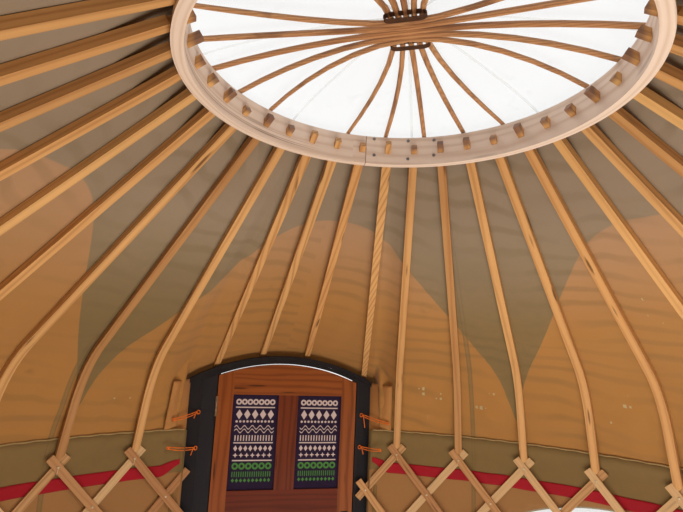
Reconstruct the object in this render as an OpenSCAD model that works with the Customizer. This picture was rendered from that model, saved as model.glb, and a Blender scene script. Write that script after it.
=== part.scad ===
// Bent-rib yurt, about 3.7 m across and 2.5 m high.
// A lattice wall of crossed laths and an arched door frame carry 36 ribs, which meet
// in a bent wooden crown hoop. Bundles of thin rods arch over the hoop under a clear dome.
// Canvas covers the roof and the wall, and a five-pointed cover lies over the crown.
// Millimetres. The origin is on the ground at the centre, +Z is up, the door is on -Y.
// Angles around the yurt are counted from the door, towards +X.

/* [Lattice wall] */
// Radius where the two layers of laths meet
wall_r = 1830; // [1780:5:1880]
// Height of the top crossings, which carry the ribs
head_z = 1200; // [1160:5:1240]
// Distance sideways from a door post to the first top crossing
head_beside = 179; // [175:1:185]
// Number of top crossings, one for each wall rib
heads = 32; // [30:2:34]
// Number of rows of half diamonds
rows = 6; // [5:1:6]
// Height of one row
row_h = 190; // [185:1:193]
// Width of a lath
lath_w = 36; // [30:1:38]
// Thickness of a lath
lath_t = 10; // [8:0.5:11]
// Length of a lath beyond its top crossing
lath_end = 58; // [50:1:62]
// Length of a lath beyond its side crossing on the door's hinge side
lath_out_left = 150; // [60:5:150]
// Length of a lath beyond its side crossing on the door's latch side
lath_out_right = 60; // [40:5:60]
// Angle by which the lattice, the ribs and the crown are turned away from the door's middle
wall_turn = 1.4; // [0:0.1:1.6]

/* [Crown] */
// Inner radius of the crown hoop
hoop_r = 466; // [440:2:490]
// Thickness of the hoop
hoop_t = 25; // [22:1:30]
// Height of the hoop's wood from edge to edge
hoop_h = 88; // [80:1:100]
// Height of the hoop's lower edge above the ground
hoop_z = 2345; // [2320:5:2370]
// Diameter of a bent rod over the crown
rod_d = 14; // [12:0.5:15]
// Rods in each of the two bundles
rods = 5; // [3:2:5]
// Angle between the rod ends of one bundle
rod_step = 14.5; // [13:0.5:15]
// Direction of the bundle that runs along the door's line
bundle_a = -27.2; // [-35:0.1:-20]
// Height of the lower bundle's middle above the hoop's upper edge
rod_rise = 54; // [50:1:70]
// Thickness of the clear dome
dome_t = 2; // [1.5:0.5:3]

/* [Ribs] */
// Thickness of a rib, across the roof
rib_t = 20; // [18:1:30]
// Width of a rib at its foot
rib_foot_w = 36; // [32:1:40]
// Width of a rib at the crown
rib_crown_w = 25; // [23:1:28]
// Width of the square peg at the crown end
peg_w = 17; // [15:1:18]
// Height of the pegs' middle above the hoop's lower edge
peg_up = 44; // [34:1:46]
// Shortest length of peg inside the hoop
peg_out = 16; // [10:1:24]
// Further length of the longest peg
peg_more = 16; // [0:2:30]
// Distance from the wall in to where the two straight runs of a rib would meet
knee_in = 178; // [160:2:190]
// Height at which the two straight runs of a rib would meet
knee_z = 1639; // [1620:2:1660]
// Radius of the bend between them
bend_r = 600; // [500:10:650]

/* [Canvas] */
// Thickness of the canvas, drawn thicker than real cloth
canvas_t = 3; // [2:0.5:4]
// Height of the wall canvas's upper hem
hem_z = 1318; // [1300:2:1340]
// Thickness of the rope in that hem
hem_d = 8; // [6:1:10]
// Height of the lower edge of the roof canvas
valance_z = 1112; // [1106:1:1130]
// Number of points of the crown cover
points = 5; // [4:1:6]
// Angle of the hollow between two points that is nearest the door
hollow_a = -3.6; // [-8:0.1:8]
// Radius of the crown cover in a hollow
hollow_r = 812; // [780:4:860]
// Distance from the wall in to the crown cover's points
point_in = 65; // [50:5:90]
// How sharp the points are
point_bend = 2.6; // [2:0.1:3]
// Width of the straps that hold the points down
strap_w = 25; // [20:1:30]
// Thickness of the rope around the eaves
eave_d = 10; // [8:1:12]
// Height of that rope
eave_z = 1140; // [1130:1:1160]

/* [Windows] */
// Angle from the door to the middle of the first window on each side
window_a = 54; // [50:1:56]
// Angle from the back to the middle of the last window on each side
window_back_a = 54; // [50:1:56]
// Width of a window
window_w = 1120; // [900:10:1160]
// Height of a window's lower edge
window_low = 470; // [400:10:600]
// Height at which a window's arch begins
window_spring = 930; // [880:5:940]
// Height of a window's top
window_top = 1083; // [1040:1:1085]
// Radius of a window's lower corners
window_corner = 60; // [30:5:90]
// Thickness of the clear sheet
window_t = 1.5; // [1:0.5:2]
// Width of the seam around a window
window_seam = 18; // [12:1:19]

/* [Belt] */
// Height of the tension belt's lower edge
belt_z = 1097; // [1090:1:1110]
// Width of the belt
belt_w = 54; // [45:1:60]
// Thickness of the belt
belt_t = 2; // [1:0.5:3]

/* [Door frame] */
// Distance from the middle of the laths in to the frame's inner face
door_set = 33; // [30:1:40]
// Depth of the posts
post_depth = 64; // [60:1:64]
// Width of a post
post_w = 65; // [55:1:75]
// Width of a jamb, between the post and the leaf, where the leaf is in the frame's middle
jamb_w = 42; // [35:1:50]
// Height of the sill
sill_h = 60; // [50:1:80]
// Thickness of the arched head
head_t = 18; // [15:1:22]
// Thickness of the arched cap on top, which carries the door ribs
cap_t = 22; // [18:1:26]
// Length of the cap beyond the posts
cap_over = 22; // [15:1:30]
// Reach of the cap inside the frame
cap_in = 10; // [5:1:15]
// Distance from the door's middle to the feet of the inner door ribs
door_rib_near = 123; // [100:1:140]
// Distance from the door's middle to the foot of the outer door rib on the hinge side
door_rib_far_left = 365; // [350:5:390]
// Distance from the door's middle to the foot of the outer door rib on the latch side
door_rib_far_right = 458; // [440:1:462]
// Depth of the stop behind the leaf
stop_w = 14; // [10:1:20]

/* [Door leaf] */
// Width of the leaf
leaf_w = 750; // [720:5:760]
// Distance from the frame's middle to the leaf's middle, towards the hinge side
leaf_off = -30; // [-30:1:0]
// Thickness of the leaf
leaf_t = 40; // [36:1:44]
// Height of the leaf's top in the middle of its arch
leaf_top = 1650; // [1640:2:1660]
// Radius of the arch
arch_r = 975; // [950:5:1050]
// Gap around the leaf
leaf_gap = 5; // [4:0.5:6]
// Width of a stile
stile_w = 82; // [70:1:95]
// Width of the muntin between the upper panels
muntin_w = 105; // [90:1:120]
// Height of the upper panels' lower edge
panel_low = 1010; // [980:5:1040]
// Height of the upper panels' upper edge
panel_high = 1490; // [1470:5:1500]
// Height of the lock rail
lock_rail_h = 170; // [120:5:200]
// Height of the bottom rail
bottom_rail_h = 180; // [140:5:220]
// Thickness of a panel
panel_t = 14; // [10:1:20]
// Setback of a panel from the leaf's faces
panel_set = 9; // [6:1:12]

/* [Door fittings] */
// Height of the upper hinge's middle
hinge_high = 1430; // [1380:5:1450]
// Height of the lower hinge's middle
hinge_low = 250; // [200:5:300]
// Height of a hinge
hinge_h = 100; // [75:5:125]
// Radius of a hinge's knuckle
knuckle_r = 6; // [5:0.5:7]
// Radius of a hinge's pin
pin_r = 2.5; // [2:0.25:3]
// Clearance around the pin
pin_fit = 0.08; // [0.05:0.01:0.1]
// Thickness of a hinge's plate
plate_t = 1.5; // [1:0.5:2]
// Height of the latch
latch_z = 820; // [800:5:900]
// Length of the latch's lever
lever_l = 105; // [90:5:120]
// Height of the upper rope tie on each post
tie_high = 1395; // [1380:5:1420]
// Height of the lower tie
tie_low = 1215; // [1200:5:1230]
// Thickness of a tie's rope
tie_d = 7; // [5:1:8]

/* [Hidden] */

$fn = 96;
gap = 0.3;
seat = 0.5;
softwood = [0.80, 0.60, 0.36];
pale_wood = [0.86, 0.70, 0.46];
canvas_tan = [0.72, 0.55, 0.33];
canvas_khaki = [0.52, 0.46, 0.33];
charcoal = [0.20, 0.22, 0.24];
varnished = [0.58, 0.30, 0.12];
navy = [0.13, 0.08, 0.22];
clear_sheet = [0.85, 0.92, 0.95, 0.4];
rope_white = [0.80, 0.76, 0.66];
rope_orange = [0.90, 0.45, 0.12];
belt_red = [0.70, 0.08, 0.14];
bright_metal = [0.78, 0.78, 0.76];
dark_metal = [0.16, 0.15, 0.15];

hoop_out = hoop_r + hoop_t;
hoop_top = hoop_z + hoop_h;
peg_z = hoop_z + peg_up;
knee_r = wall_r - knee_in;
point_r = wall_r - point_in;
door_in = wall_r - door_set;
opening_w = leaf_w + 2 * leaf_gap;
frame_w = opening_w + 2 * jamb_w + 2 * gap + 2 * post_w;

// Lattice: crossings stand on columns half a head step apart, and the gap between
// the layers leaves room for the straight ends of the bent laths
layer_gap = 1.3;
first_head_a = asin((frame_w / 2 + head_beside) / wall_r);
head_step = (360 - 2 * first_head_a) / (heads - 1);
half_step = head_step / 2;
half_arc = wall_r * half_step * PI / 180;
lath_slope = atan(row_h / half_arc);
edge_a = first_head_a - half_step;
columns = 2 * heads;
outer_face = wall_r + gap / 2;
inner_face = outer_face - layer_gap;
foot_cross_z = head_z - rows * row_h;
foot_end = (foot_cross_z - lath_w / 2 * cos(lath_slope)) / sin(lath_slope);
crotch_z = head_z + lath_w / 2 / cos(lath_slope);

// Rib line in the vertical plane through a rib, as radius and height
slope_up = atan((peg_z - knee_z) / (knee_r - hoop_r));
slope_down = atan((knee_z - crotch_z) / (wall_r - knee_r));
tangent = bend_r * tan((slope_down - slope_up) / 2);
bend_steps = 8;
function along(s) = [cos(s), -sin(s)];
function out_of(s) = [sin(s), cos(s)];
bend_c = [knee_r, knee_z] - tangent * along(slope_up) - bend_r * out_of(slope_up);
function bend_points(d) = [for (i = [0 : bend_steps])
    bend_c + (bend_r + d) * out_of(slope_up + (slope_down - slope_up) * i / bend_steps)];
function crown_point(d, back) = [hoop_r, peg_z] + d * out_of(slope_up) - back * along(slope_up);
function foot_point(d, on) = [wall_r, crotch_z] + d * out_of(slope_down) + on * along(slope_down);
function upper_z(r, d) = peg_z + (d - (r - hoop_r) * sin(slope_up)) / cos(slope_up);
function lower_z(r, d) = crotch_z + (d - (r - wall_r) * sin(slope_down)) / cos(slope_down);
function lower_r(z, d) = wall_r + (d - (z - crotch_z) * cos(slope_down)) / sin(slope_down);
function reversed(list) = [for (i = [len(list) - 1 : -1 : 0]) list[i]];

// Pegs are evenly spaced in the hoop, four of them over the door
rib_count = heads + 4;
peg_step = 360 / rib_count;
function head_a(k) = wall_turn + first_head_a + k * head_step;
function peg_a(k) = wall_turn + peg_step * (k + 2.5);
function at(a, r) = [r * sin(a), -r * cos(a)];
function peg_length(k) = peg_out + peg_more * (0.5 + 0.5 * sin(k * 137.5));
shoulder = (hoop_t + seat + rib_t / 2 * sin(slope_up)) / cos(slope_up);

// Layers of the wall and the roof, from the inside out. The wall canvas leans in over the
// tips of the laths to the backs of the ribs.
tip_z = head_z + lath_end * sin(lath_slope) + lath_w / 2 * cos(lath_slope);
tip_d = (outer_face + lath_t - wall_r) * sin(slope_down) + (tip_z - crotch_z) * cos(slope_down);
belt_in = wall_r + lath_t + gap;
wall_in = belt_in + belt_t + gap;
wall_out = wall_in + canvas_t;
wall_d = max(rib_t / 2, tip_d) + seat;
roof_d = wall_d + hem_d + seat;
valance_in = wall_out + gap;
valance_out = valance_in + canvas_t;
strap_t = 2;
eave_in = valance_out + strap_t + 2 * gap;
total_r = eave_in + eave_d;

// Door: the leaf's arch, the head and the cap have one centre
arch_z = leaf_top - arch_r;
head_r = arch_r + leaf_gap;
cap_r = head_r + head_t + gap;
cap_top_r = cap_r + cap_t;
door_out = door_in + post_depth;
frame_a = asin((frame_w / 2 + gap) / wall_in);
leaf_low = sill_h + leaf_gap;
function cap_z(x) = arch_z + sqrt(pow(cap_top_r, 2) - pow(min(abs(x), frame_w / 2 + cap_over), 2));

// Door ribs run straight from the hoop to the cap
door_rib_on = 40;
door_rib_up = 8;
door_rib_clear = 13;
function door_peg_a(i) = wall_turn + peg_step * (i - 1.5);
door_feet = [-door_rib_far_right, -door_rib_near, door_rib_near, door_rib_far_left];
function door_foot_x(i) = door_feet[i];
function door_foot(i) = [door_foot_x(i), -(door_in + door_rib_on)];
function door_run(i) = norm(door_foot(i) - at(door_peg_a(i), hoop_r));
function door_fall(i) = peg_z - cap_z(door_foot_x(i)) - door_rib_up;
function door_slope(i) = atan(door_fall(i) / door_run(i));

// Height of the roof canvas at a place, raised over the door
front_a = first_head_a;
collar_r = hoop_out + seat;
lift_z = door_rib_up + rib_t / 2 + door_rib_clear;
cap_seat = 2;
function smooth(t) = t * t * (3 - 2 * t);
cap_a = atan((frame_w / 2 + cap_over + gap) / (door_in - cap_in));
function lift(a) = smooth(max(0, min(1, (front_a - abs(a)) / (front_a - cap_a))));
function edge_lift(a) = smooth(max(0, min(1, (cap_a + skirt_a - abs(a)) / skirt_a)));
skirt_a = 1;
front_side = [for (t = [1, 0.75, 0.5]) cap_a + skirt_a + (front_a - cap_a - skirt_a) * t];
front_half = concat(front_side, [cap_a + skirt_a, cap_a + skirt_a / 2, cap_a],
    [for (i = [5 : -1 : 1]) cap_a * i / 6]);
front_angles = concat(-front_half, [0], reversed(front_half));
function door_z(a, r, d) = let(
        edge = (door_in + door_rib_on) / cos(a),
        top = upper_z(collar_r, d),
        low = cap_z(edge * sin(a)) + lift_z + d - roof_d)
    top + (low - top) * (r - collar_r) / (edge - collar_r);
function plain_z(r, d) = let(
        b = bend_c,
        r1 = b.x + (bend_r + d) * sin(slope_up),
        r2 = b.x + (bend_r + d) * sin(slope_down))
    r < r1 ? upper_z(r, d)
        : r < r2 ? b.y + sqrt(pow(bend_r + d, 2) - pow(r - b.x, 2)) : lower_z(r, d);
function roof_z(a, r, d) = abs(a) >= front_a ? plain_z(r, d)
    : plain_z(r, d) + (door_z(a, r, d) - plain_z(r, d)) * lift(a);

module around(a) {
    rotate([0, 0, a - 90]) children();
}

module sector(a1, a2) {
    rotate([0, 0, a1 - 90]) rotate_extrude(angle = a2 - a1, $fn = 180) children();
}

// A closed skin between two grids of points, one row for each angle and points from
// the crown outwards
module skin_between(under, top) {
    n = len(under);
    m = len(under[0]);
    last = n - 2;
    function id(side, i, j) = side * n * m + i * m + j;
    faces = concat(
        [for (i = [0 : last], j = [0 : m - 2])
            each [[id(0, i, j), id(0, i, j + 1), id(0, i + 1, j)],
                [id(0, i + 1, j), id(0, i, j + 1), id(0, i + 1, j + 1)],
                [id(1, i, j), id(1, i + 1, j), id(1, i, j + 1)],
                [id(1, i + 1, j), id(1, i + 1, j + 1), id(1, i, j + 1)]]],
        [for (i = [0 : last])
            each [[id(0, i, 0), id(0, i + 1, 0), id(1, i, 0)],
                [id(0, i + 1, 0), id(1, i + 1, 0), id(1, i, 0)],
                [id(0, i, m - 1), id(1, i, m - 1), id(0, i + 1, m - 1)],
                [id(0, i + 1, m - 1), id(1, i, m - 1), id(1, i + 1, m - 1)]]],
        [for (j = [0 : m - 2])
            each [[id(0, 0, j), id(1, 0, j), id(0, 0, j + 1)],
                [id(0, 0, j + 1), id(1, 0, j), id(1, 0, j + 1)],
                [id(0, n - 1, j), id(0, n - 1, j + 1), id(1, n - 1, j)],
                [id(0, n - 1, j + 1), id(1, n - 1, j + 1), id(1, n - 1, j)]]]);
    polyhedron(concat([for (row = under) each row], [for (row = top) each row]), faces);
}

// A bar with the given corners, one ring after the other
module ring_bar(rings) {
    n = len(rings);
    m = len(rings[0]);
    sides = [for (i = [0 : n - 2], j = [0 : m - 1])
        each [[i * m + j, i * m + (j + 1) % m, (i + 1) * m + j],
            [(i + 1) * m + j, i * m + (j + 1) % m, (i + 1) * m + (j + 1) % m]]];
    ends = [for (j = [1 : m - 2])
        each [[0, j + 1, j], [(n - 1) * m, (n - 1) * m + j, (n - 1) * m + j + 1]]];
    polyhedron([for (ring = rings) each ring], concat(sides, ends));
}

module rod_between(p, q, d) {
    v = q - p;
    translate(p) rotate([0, atan2(norm([v.x, v.y]), v.z), atan2(v.y, v.x)])
        cylinder(h = norm(v), d = d, $fn = 24);
}

// Crown

module on_wall_rib(k) {
    h = at(head_a(k), wall_r);
    p = at(peg_a(k), hoop_r);
    translate([h.x, h.y, 0]) rotate([0, 0, atan2(h.y - p.y, h.x - p.x)])
        translate([-wall_r, 0, 0]) children();
}

module on_door_rib(i) {
    p = at(door_peg_a(i), hoop_r);
    f = door_foot(i);
    translate([p.x, p.y, peg_z]) rotate([0, 0, atan2(f.y - p.y, f.x - p.x)])
        rotate([0, door_slope(i), 0]) children();
}

module peg_bar(inside, outside, w) {
    translate([-inside, -w / 2, -w / 2]) cube([inside + outside, w, w]);
}

socket_deep = 16;

module crown_hoop() {
    mortise = peg_w + 2 * seat;
    color(pale_wood) difference() {
        translate([0, 0, hoop_z]) rotate_extrude()
            translate([hoop_r, 0]) square([hoop_t, hoop_h]);
        for (k = [0 : heads - 1]) on_wall_rib(k)
            translate([hoop_r, 0, peg_z]) rotate([0, slope_up, 0])
                peg_bar(hoop_t, 3 * hoop_t, mortise);
        for (i = [0 : 3]) on_door_rib(i) peg_bar(hoop_t, 3 * hoop_t, mortise);
        for (a = [bundle_a, bundle_a + 90], e = [0, 180], i = [0 : rods - 1])
            around(a + e + (i - (rods - 1) / 2) * rod_step)
                translate([hoop_r + hoop_t / 2, 0, hoop_top - socket_deep])
                    cylinder(h = socket_deep + 1, d = rod_d + 2 * seat, $fn = 24);
    }
}

// Sideways place of a rod, off counts from the bundle's middle, u runs from -1 to 1
rod_reach = hoop_r + hoop_t / 2;
rod_pitch = rod_d + 2 * gap;
function rod_side(off, u) = off * rod_pitch
    + (rod_reach * sin(off * rod_step) - off * rod_pitch) * pow(abs(u), 1.6);

// One bent rod: i counts across the bundle, the ends turn down into the hoop. It runs
// straight between nodes, one for each share of u.
rod_share = 1 / 6;

module bent_rod(i, mid_z) {
    off = i - (rods - 1) / 2;
    end_z = hoop_top + rod_d / 2 + 1;
    end_x = rod_reach * cos(off * rod_step);
    function place(u) = [end_x * u, rod_side(off, u), end_z + (mid_z - end_z) * (1 - u * u)];
    function foot(u) = [end_x * u, rod_side(off, u), hoop_top - socket_deep + 2];
    path = concat([foot(-1)], [for (u = [-1 : rod_share : 1 + rod_share / 2]) place(u)], [foot(1)]);
    last = len(path) - 1;
    function heading(j) = let(v = path[min(last, j + 1)] - path[max(0, j - 1)]) v / norm(v);
    rings = [for (j = [0 : last]) let(
            t = heading(j),
            side = [0, 1, 0],
            up = cross(t, side))
        [for (c = [0 : 7]) path[j] + rod_d / 2 * (side * cos(c * 45 + 22.5)
            + up * sin(c * 45 + 22.5))]];
    ring_bar(rings);
}

module crown_rods_across() {
    color(pale_wood) around(bundle_a + 90) for (i = [0 : rods - 1])
        bent_rod(i, hoop_top + rod_rise);
}

module crown_rods_along() {
    color(pale_wood) around(bundle_a) for (i = [0 : rods - 1])
        bent_rod(i, hoop_top + rod_rise + rod_d + 2 * gap);
}

module rod_lashings() {
    band = 12;
    cord = 3;
    clear_of_bundle = 10;
    place = rods * rod_pitch / 2 + band / 2 + clear_of_bundle;
    outer = (rods - 1) / 2;
    far_u = (place + band / 2) / (rod_reach * cos(outer * rod_step));
    spread = rod_side(outer, rod_share) - rod_side(outer, 0);
    wide = 2 * (rod_side(outer, 0) + spread * far_u / rod_share) + rod_d + 4 * gap;
    high = rod_d + 6 * gap;
    color(rope_white) around(bundle_a + 90) for (s = [-1, 1])
        translate([s * place, 0, hoop_top + rod_rise]) difference() {
            cube([band, wide + 2 * cord, high + 2 * cord], center = true);
            cube([band + 2, wide, high], center = true);
        }
}

// Dome: a shallow cap that clears the rods, with a short skirt outside the hoop
dome_edge = hoop_out + canvas_t + 4;
dome_clear = 4;
skirt_gap = 1.1;
dome_low = hoop_top + rod_d + dome_clear;
dome_high = hoop_top + rod_rise + 2 * rod_d + dome_clear;
dome_r = (pow(dome_edge, 2) + pow(dome_high - dome_low, 2)) / (2 * (dome_high - dome_low));

module crown_dome() {
    steps = 10;
    skirt_z = upper_z(dome_edge, cover_d + canvas_t) + skirt_gap;
    half = asin(dome_edge / dome_r);
    function cap(r, i) = [r * sin(half * i / steps), dome_high - dome_r + r * cos(half * i / steps)];
    inside = [for (i = [0 : steps]) cap(dome_r, i)];
    outside = [for (i = [0 : steps]) cap(dome_r + dome_t, i)];
    color(clear_sheet) rotate_extrude() polygon(concat(inside, [[dome_edge, skirt_z],
        [dome_edge + dome_t, skirt_z]], reversed(outside)));
}

// Crown cover: a star of cloth over the roof canvas
cover_gap = 0.9;
cover_d = roof_d + canvas_t + cover_gap;

function cover_edge(a) = let(
        turn = 360 / points,
        away = abs((a - hollow_a + 360 * 2 + turn / 2) % turn - turn / 2))
    hollow_r + (point_r - hollow_r) * pow(away / (turn / 2), point_bend);

cover_start = collar_r + canvas_t + seat;
seam_a = gap / cover_start * 180 / PI;

// Slack of the cover where the roof rises beside the door
cover_slack = 7;

function cover_front(d) = [for (a = front_angles) let(e = cover_edge(a), p = at(a, 1))
    [for (j = [0 : 4]) let(
            r = cover_start + (e - cover_start) * j / 4,
            slack = 4 * lift(a) * (1 - lift(a)) * cover_slack * j / 4)
        [p.x * r, p.y * r, roof_z(a, r, d) + slack]]];

function cover_line(d) = concat([[cover_start, upper_z(cover_start, d)]], bend_points(d),
    [foot_point(d, 0)]);

module crown_cover() {
    step = 360 / points / 36;
    color(canvas_khaki) {
        skin_between(cover_front(cover_d), cover_front(cover_d + canvas_t));
        intersection() {
            sector(front_a + seam_a, 360 - front_a - seam_a)
                polygon(concat(cover_line(cover_d), reversed(cover_line(cover_d + canvas_t))));
            linear_extrude(2 * hoop_top) polygon([for (i = [0 : 36 * points - 1])
                at(hollow_a + i * step, cover_edge(hollow_a + i * step))]);
        }
    }
}

module cover_straps() {
    inner_d = roof_d + canvas_t + gap;
    from_z = plain_z(point_r, cover_d) - 8;
    half = strap_w / 2 / wall_r * 180 / PI;
    function edge(d, r) = [[lower_r(from_z, d), from_z], [r, lower_z(r, d)], [r, eave_z - 20]];
    outline = concat(edge(inner_d, valance_out + gap),
        reversed(edge(inner_d + strap_t, valance_out + gap + strap_t)));
    color(rope_white) for (i = [0 : points - 1]) let(a = hollow_a + (i + 0.5) * 360 / points)
        sector(a - half, a + half) polygon(outline);
}

// Ribs

module rib_foot_cut() {
    // Leaves the blunt point that sits in the fork of the laths
    far = 100;
    translate([wall_r - far, 0, crotch_z + seat]) rotate([90, 0, 90])
        linear_extrude(2 * far) polygon([[0, 0], [far, far * tan(lath_slope)],
            [far, -far], [-far, -far], [-far, far * tan(lath_slope)]]);
}

module wall_rib(k) {
    reach = shoulder;
    top = concat([crown_point(rib_t / 2, -reach)], bend_points(rib_t / 2), [foot_point(rib_t / 2, 30)]);
    under = concat([crown_point(-rib_t / 2, -reach)], bend_points(-rib_t / 2),
        [foot_point(-rib_t / 2, 30)]);
    difference() {
        union() {
            intersection() {
                rotate([90, 0, 0]) linear_extrude(2 * rib_foot_w, center = true)
                    polygon(concat(top, reversed(under)));
                linear_extrude(hoop_top) polygon([
                    [hoop_out - 5, -rib_crown_w / 2], [wall_r + 50, -rib_foot_w / 2],
                    [wall_r + 50, rib_foot_w / 2], [hoop_out - 5, rib_crown_w / 2]]);
            }
            translate([hoop_r, 0, peg_z]) rotate([0, slope_up, 0])
                peg_bar(peg_length(k), reach + 1, peg_w);
        }
        rib_foot_cut();
    }
}

side_ribs = 11;

module ribs_left() {
    color(softwood) for (k = [0 : side_ribs - 1]) on_wall_rib(k) wall_rib(k);
}

module ribs_right() {
    color(softwood) for (k = [heads - side_ribs : heads - 1]) on_wall_rib(k) wall_rib(k);
}

module ribs_back() {
    color(softwood) for (k = [side_ribs : heads - side_ribs - 1]) on_wall_rib(k) wall_rib(k);
}

module door_ribs() {
    color(softwood) for (i = [0 : 3]) difference() {
        on_door_rib(i) {
            long = norm([door_run(i), door_fall(i)]);
            start = hoop_t + seat + rib_t / 2 * tan(door_slope(i)) + 4;
            translate([start, -rib_crown_w / 2 - 2, -rib_t / 2])
                cube([long - start, rib_crown_w + 4, rib_t]);
            peg_bar(peg_length(heads + i), start + 1, peg_w);
        }
        translate([0, -door_in + cap_in + gap, arch_z]) rotate([90, 0, 0])
            cylinder(h = 2 * post_depth, r = cap_top_r + gap);
    }
}

// Lattice: column i, row j; a lath goes down one row for each column

function cross_a(i) = wall_turn + edge_a + i * half_step;
function side_end(i) = i < columns / 2 ? lath_out_left : lath_out_right;
function cross_z(j) = head_z - j * row_h;

// Corners of a lath where it passes column position i, at height z
function lath_ring(i, z, r1, r2) = let(
        h = lath_w / 2 / cos(lath_slope),
        p = at(cross_a(i), r1),
        q = at(cross_a(i), r2))
    [[p.x, p.y, z - h], [q.x, q.y, z - h], [q.x, q.y, z + h], [p.x, p.y, z + h]];

// Square end of a lath, this far beyond position i; up is 1 or -1, side is the way it leans
function lath_tip(i, z, more, up, side, r1, r2) = let(
        mid = side * more * cos(lath_slope),
        end_z = z + up * more * sin(lath_slope),
        half = lath_w / 2,
        lean = side * up * half * sin(lath_slope),
        rise = half * cos(lath_slope),
        turn = 180 / PI / wall_r,
        low = cross_a(i) + (mid + lean) * turn,
        high = cross_a(i) + (mid - lean) * turn,
        p = at(low, r1),
        q = at(low, r2),
        s = at(high, r2),
        t = at(high, r1))
    [[p.x, p.y, end_z - rise], [q.x, q.y, end_z - rise],
        [s.x, s.y, end_z + rise], [t.x, t.y, end_z + rise]];

// A lath from row j1 down to row j2, starting at column i; step is its way round, 1 or -1
module lath(i, j1, j2, step, r1, r2) {
    last = i + step * (j2 - j1);
    above = j1 == 0 ? lath_end : side_end(i);
    below = j2 == rows ? foot_end : side_end(last);
    rings = concat(
        [lath_tip(i, cross_z(j1), above, 1, -step, r1, r2)],
        [for (j = [j1 : j2]) lath_ring(i + step * (j - j1), cross_z(j), r1, r2)],
        [lath_tip(last, cross_z(j2), below, -1, step, r1, r2)]);
    mirror_rings = step > 0 ? rings : [for (r = rings) reversed(r)];
    ring_bar(mirror_rings);
}

module inner_laths() {
    color(pale_wood) for (c = [1 : 2 : columns + rows - 1]) {
        j1 = max(0, c - columns);
        j2 = min(rows, c);
        if (j2 > j1) lath(c - j1, j1, j2, -1, inner_face - lath_t, inner_face);
    }
}

module outer_laths() {
    color(softwood) for (c = [1 - rows : 2 : columns - 1]) {
        first = (abs(c) % 2 == 1) ? c : c + 1;
        j1 = max(0, -first);
        j2 = min(rows, columns - first);
        if (j2 > j1) lath(first + j1, j1, j2, 1, outer_face, outer_face + lath_t);
    }
}

// Wall cloth

module tension_belt() {
    a = asin((frame_w / 2 + gap) / belt_in);
    color(belt_red) sector(a, 360 - a) translate([belt_in, belt_z]) square([belt_t, belt_w]);
}

// Outline of a window, grown by the given width
module window_outline(more) {
    rise = window_top - window_spring;
    r = (pow(window_w / 2, 2) + pow(rise, 2)) / (2 * rise);
    intersection() {
        translate([0, window_top - r]) circle(r + more, $fn = 180);
        union() {
            translate([-window_w / 2 - more, window_low + window_corner])
                square([window_w + 2 * more, window_top - window_low]);
            translate([-window_w / 2 + window_corner, window_low - more])
                square([window_w - 2 * window_corner, window_top - window_low]);
            for (s = [-1, 1]) translate([s * (window_w / 2 - window_corner), window_low + window_corner])
                circle(window_corner + more, $fn = 48);
        }
    }
}

window_angles = [window_a, 180 - window_back_a, 180 + window_back_a, 360 - window_a];

module window_prism(a, more) {
    around(a) translate([wall_in - 150, 0, 0]) rotate([90, 0, 90])
        linear_extrude(300) window_outline(more);
}

module wall_segment(a1, a2, w) {
    color(canvas_tan) difference() {
        sector(a1, a2) polygon([[wall_in, 0], [wall_in, lower_z(wall_in, wall_d)],
            [lower_r(hem_z, wall_d), hem_z], [lower_r(hem_z, wall_d + canvas_t), hem_z],
            [wall_out, lower_z(wall_out, wall_d + canvas_t)], [wall_out, 0]]);
        window_prism(w, 0);
    }
}

module wall_canvas_left() { wall_segment(frame_a, 90, window_angles[0]); }
module wall_canvas_back_left() { wall_segment(90, 180, window_angles[1]); }
module wall_canvas_back_right() { wall_segment(180, 270, window_angles[2]); }
module wall_canvas_right() { wall_segment(270, 360 - frame_a, window_angles[3]); }

module windows() {
    half = asin((window_w / 2 + window_seam + 5) / wall_out);
    color(clear_sheet) for (a = window_angles) intersection() {
        sector(a - half, a + half) translate([wall_out + gap, window_low - 100])
            square([window_t, window_top - window_low + 200]);
        window_prism(a, window_seam);
    }
}

module wall_hem_rope() {
    d = wall_d + hem_d / 2;
    z = hem_z + hem_d / 2 + gap;
    start = frame_a + 3;
    color(rope_white) sector(start, 360 - start)
        translate([lower_r(z, d), z]) circle(d = hem_d, $fn = 24);
}

// Roof cloth

function roof_edge(d, r) = concat([[collar_r + d - roof_d, hoop_top - 2],
    [collar_r + d - roof_d, upper_z(collar_r + d - roof_d, d)]], bend_points(d),
    [[r, lower_z(r, d)], [r, valance_z]]);

module roof_segment(a1, a2) {
    color(canvas_tan) sector(a1, a2) polygon(concat(roof_edge(roof_d, valance_in),
        reversed(roof_edge(roof_d + canvas_t, valance_out))));
}

module roof_canvas_left() { roof_segment(front_a + seam_a, 100); }
module roof_canvas_back_left() { roof_segment(100, 180); }
module roof_canvas_back_right() { roof_segment(180, 260); }
module roof_canvas_right() { roof_segment(260, 360 - front_a - seam_a); }

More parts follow.
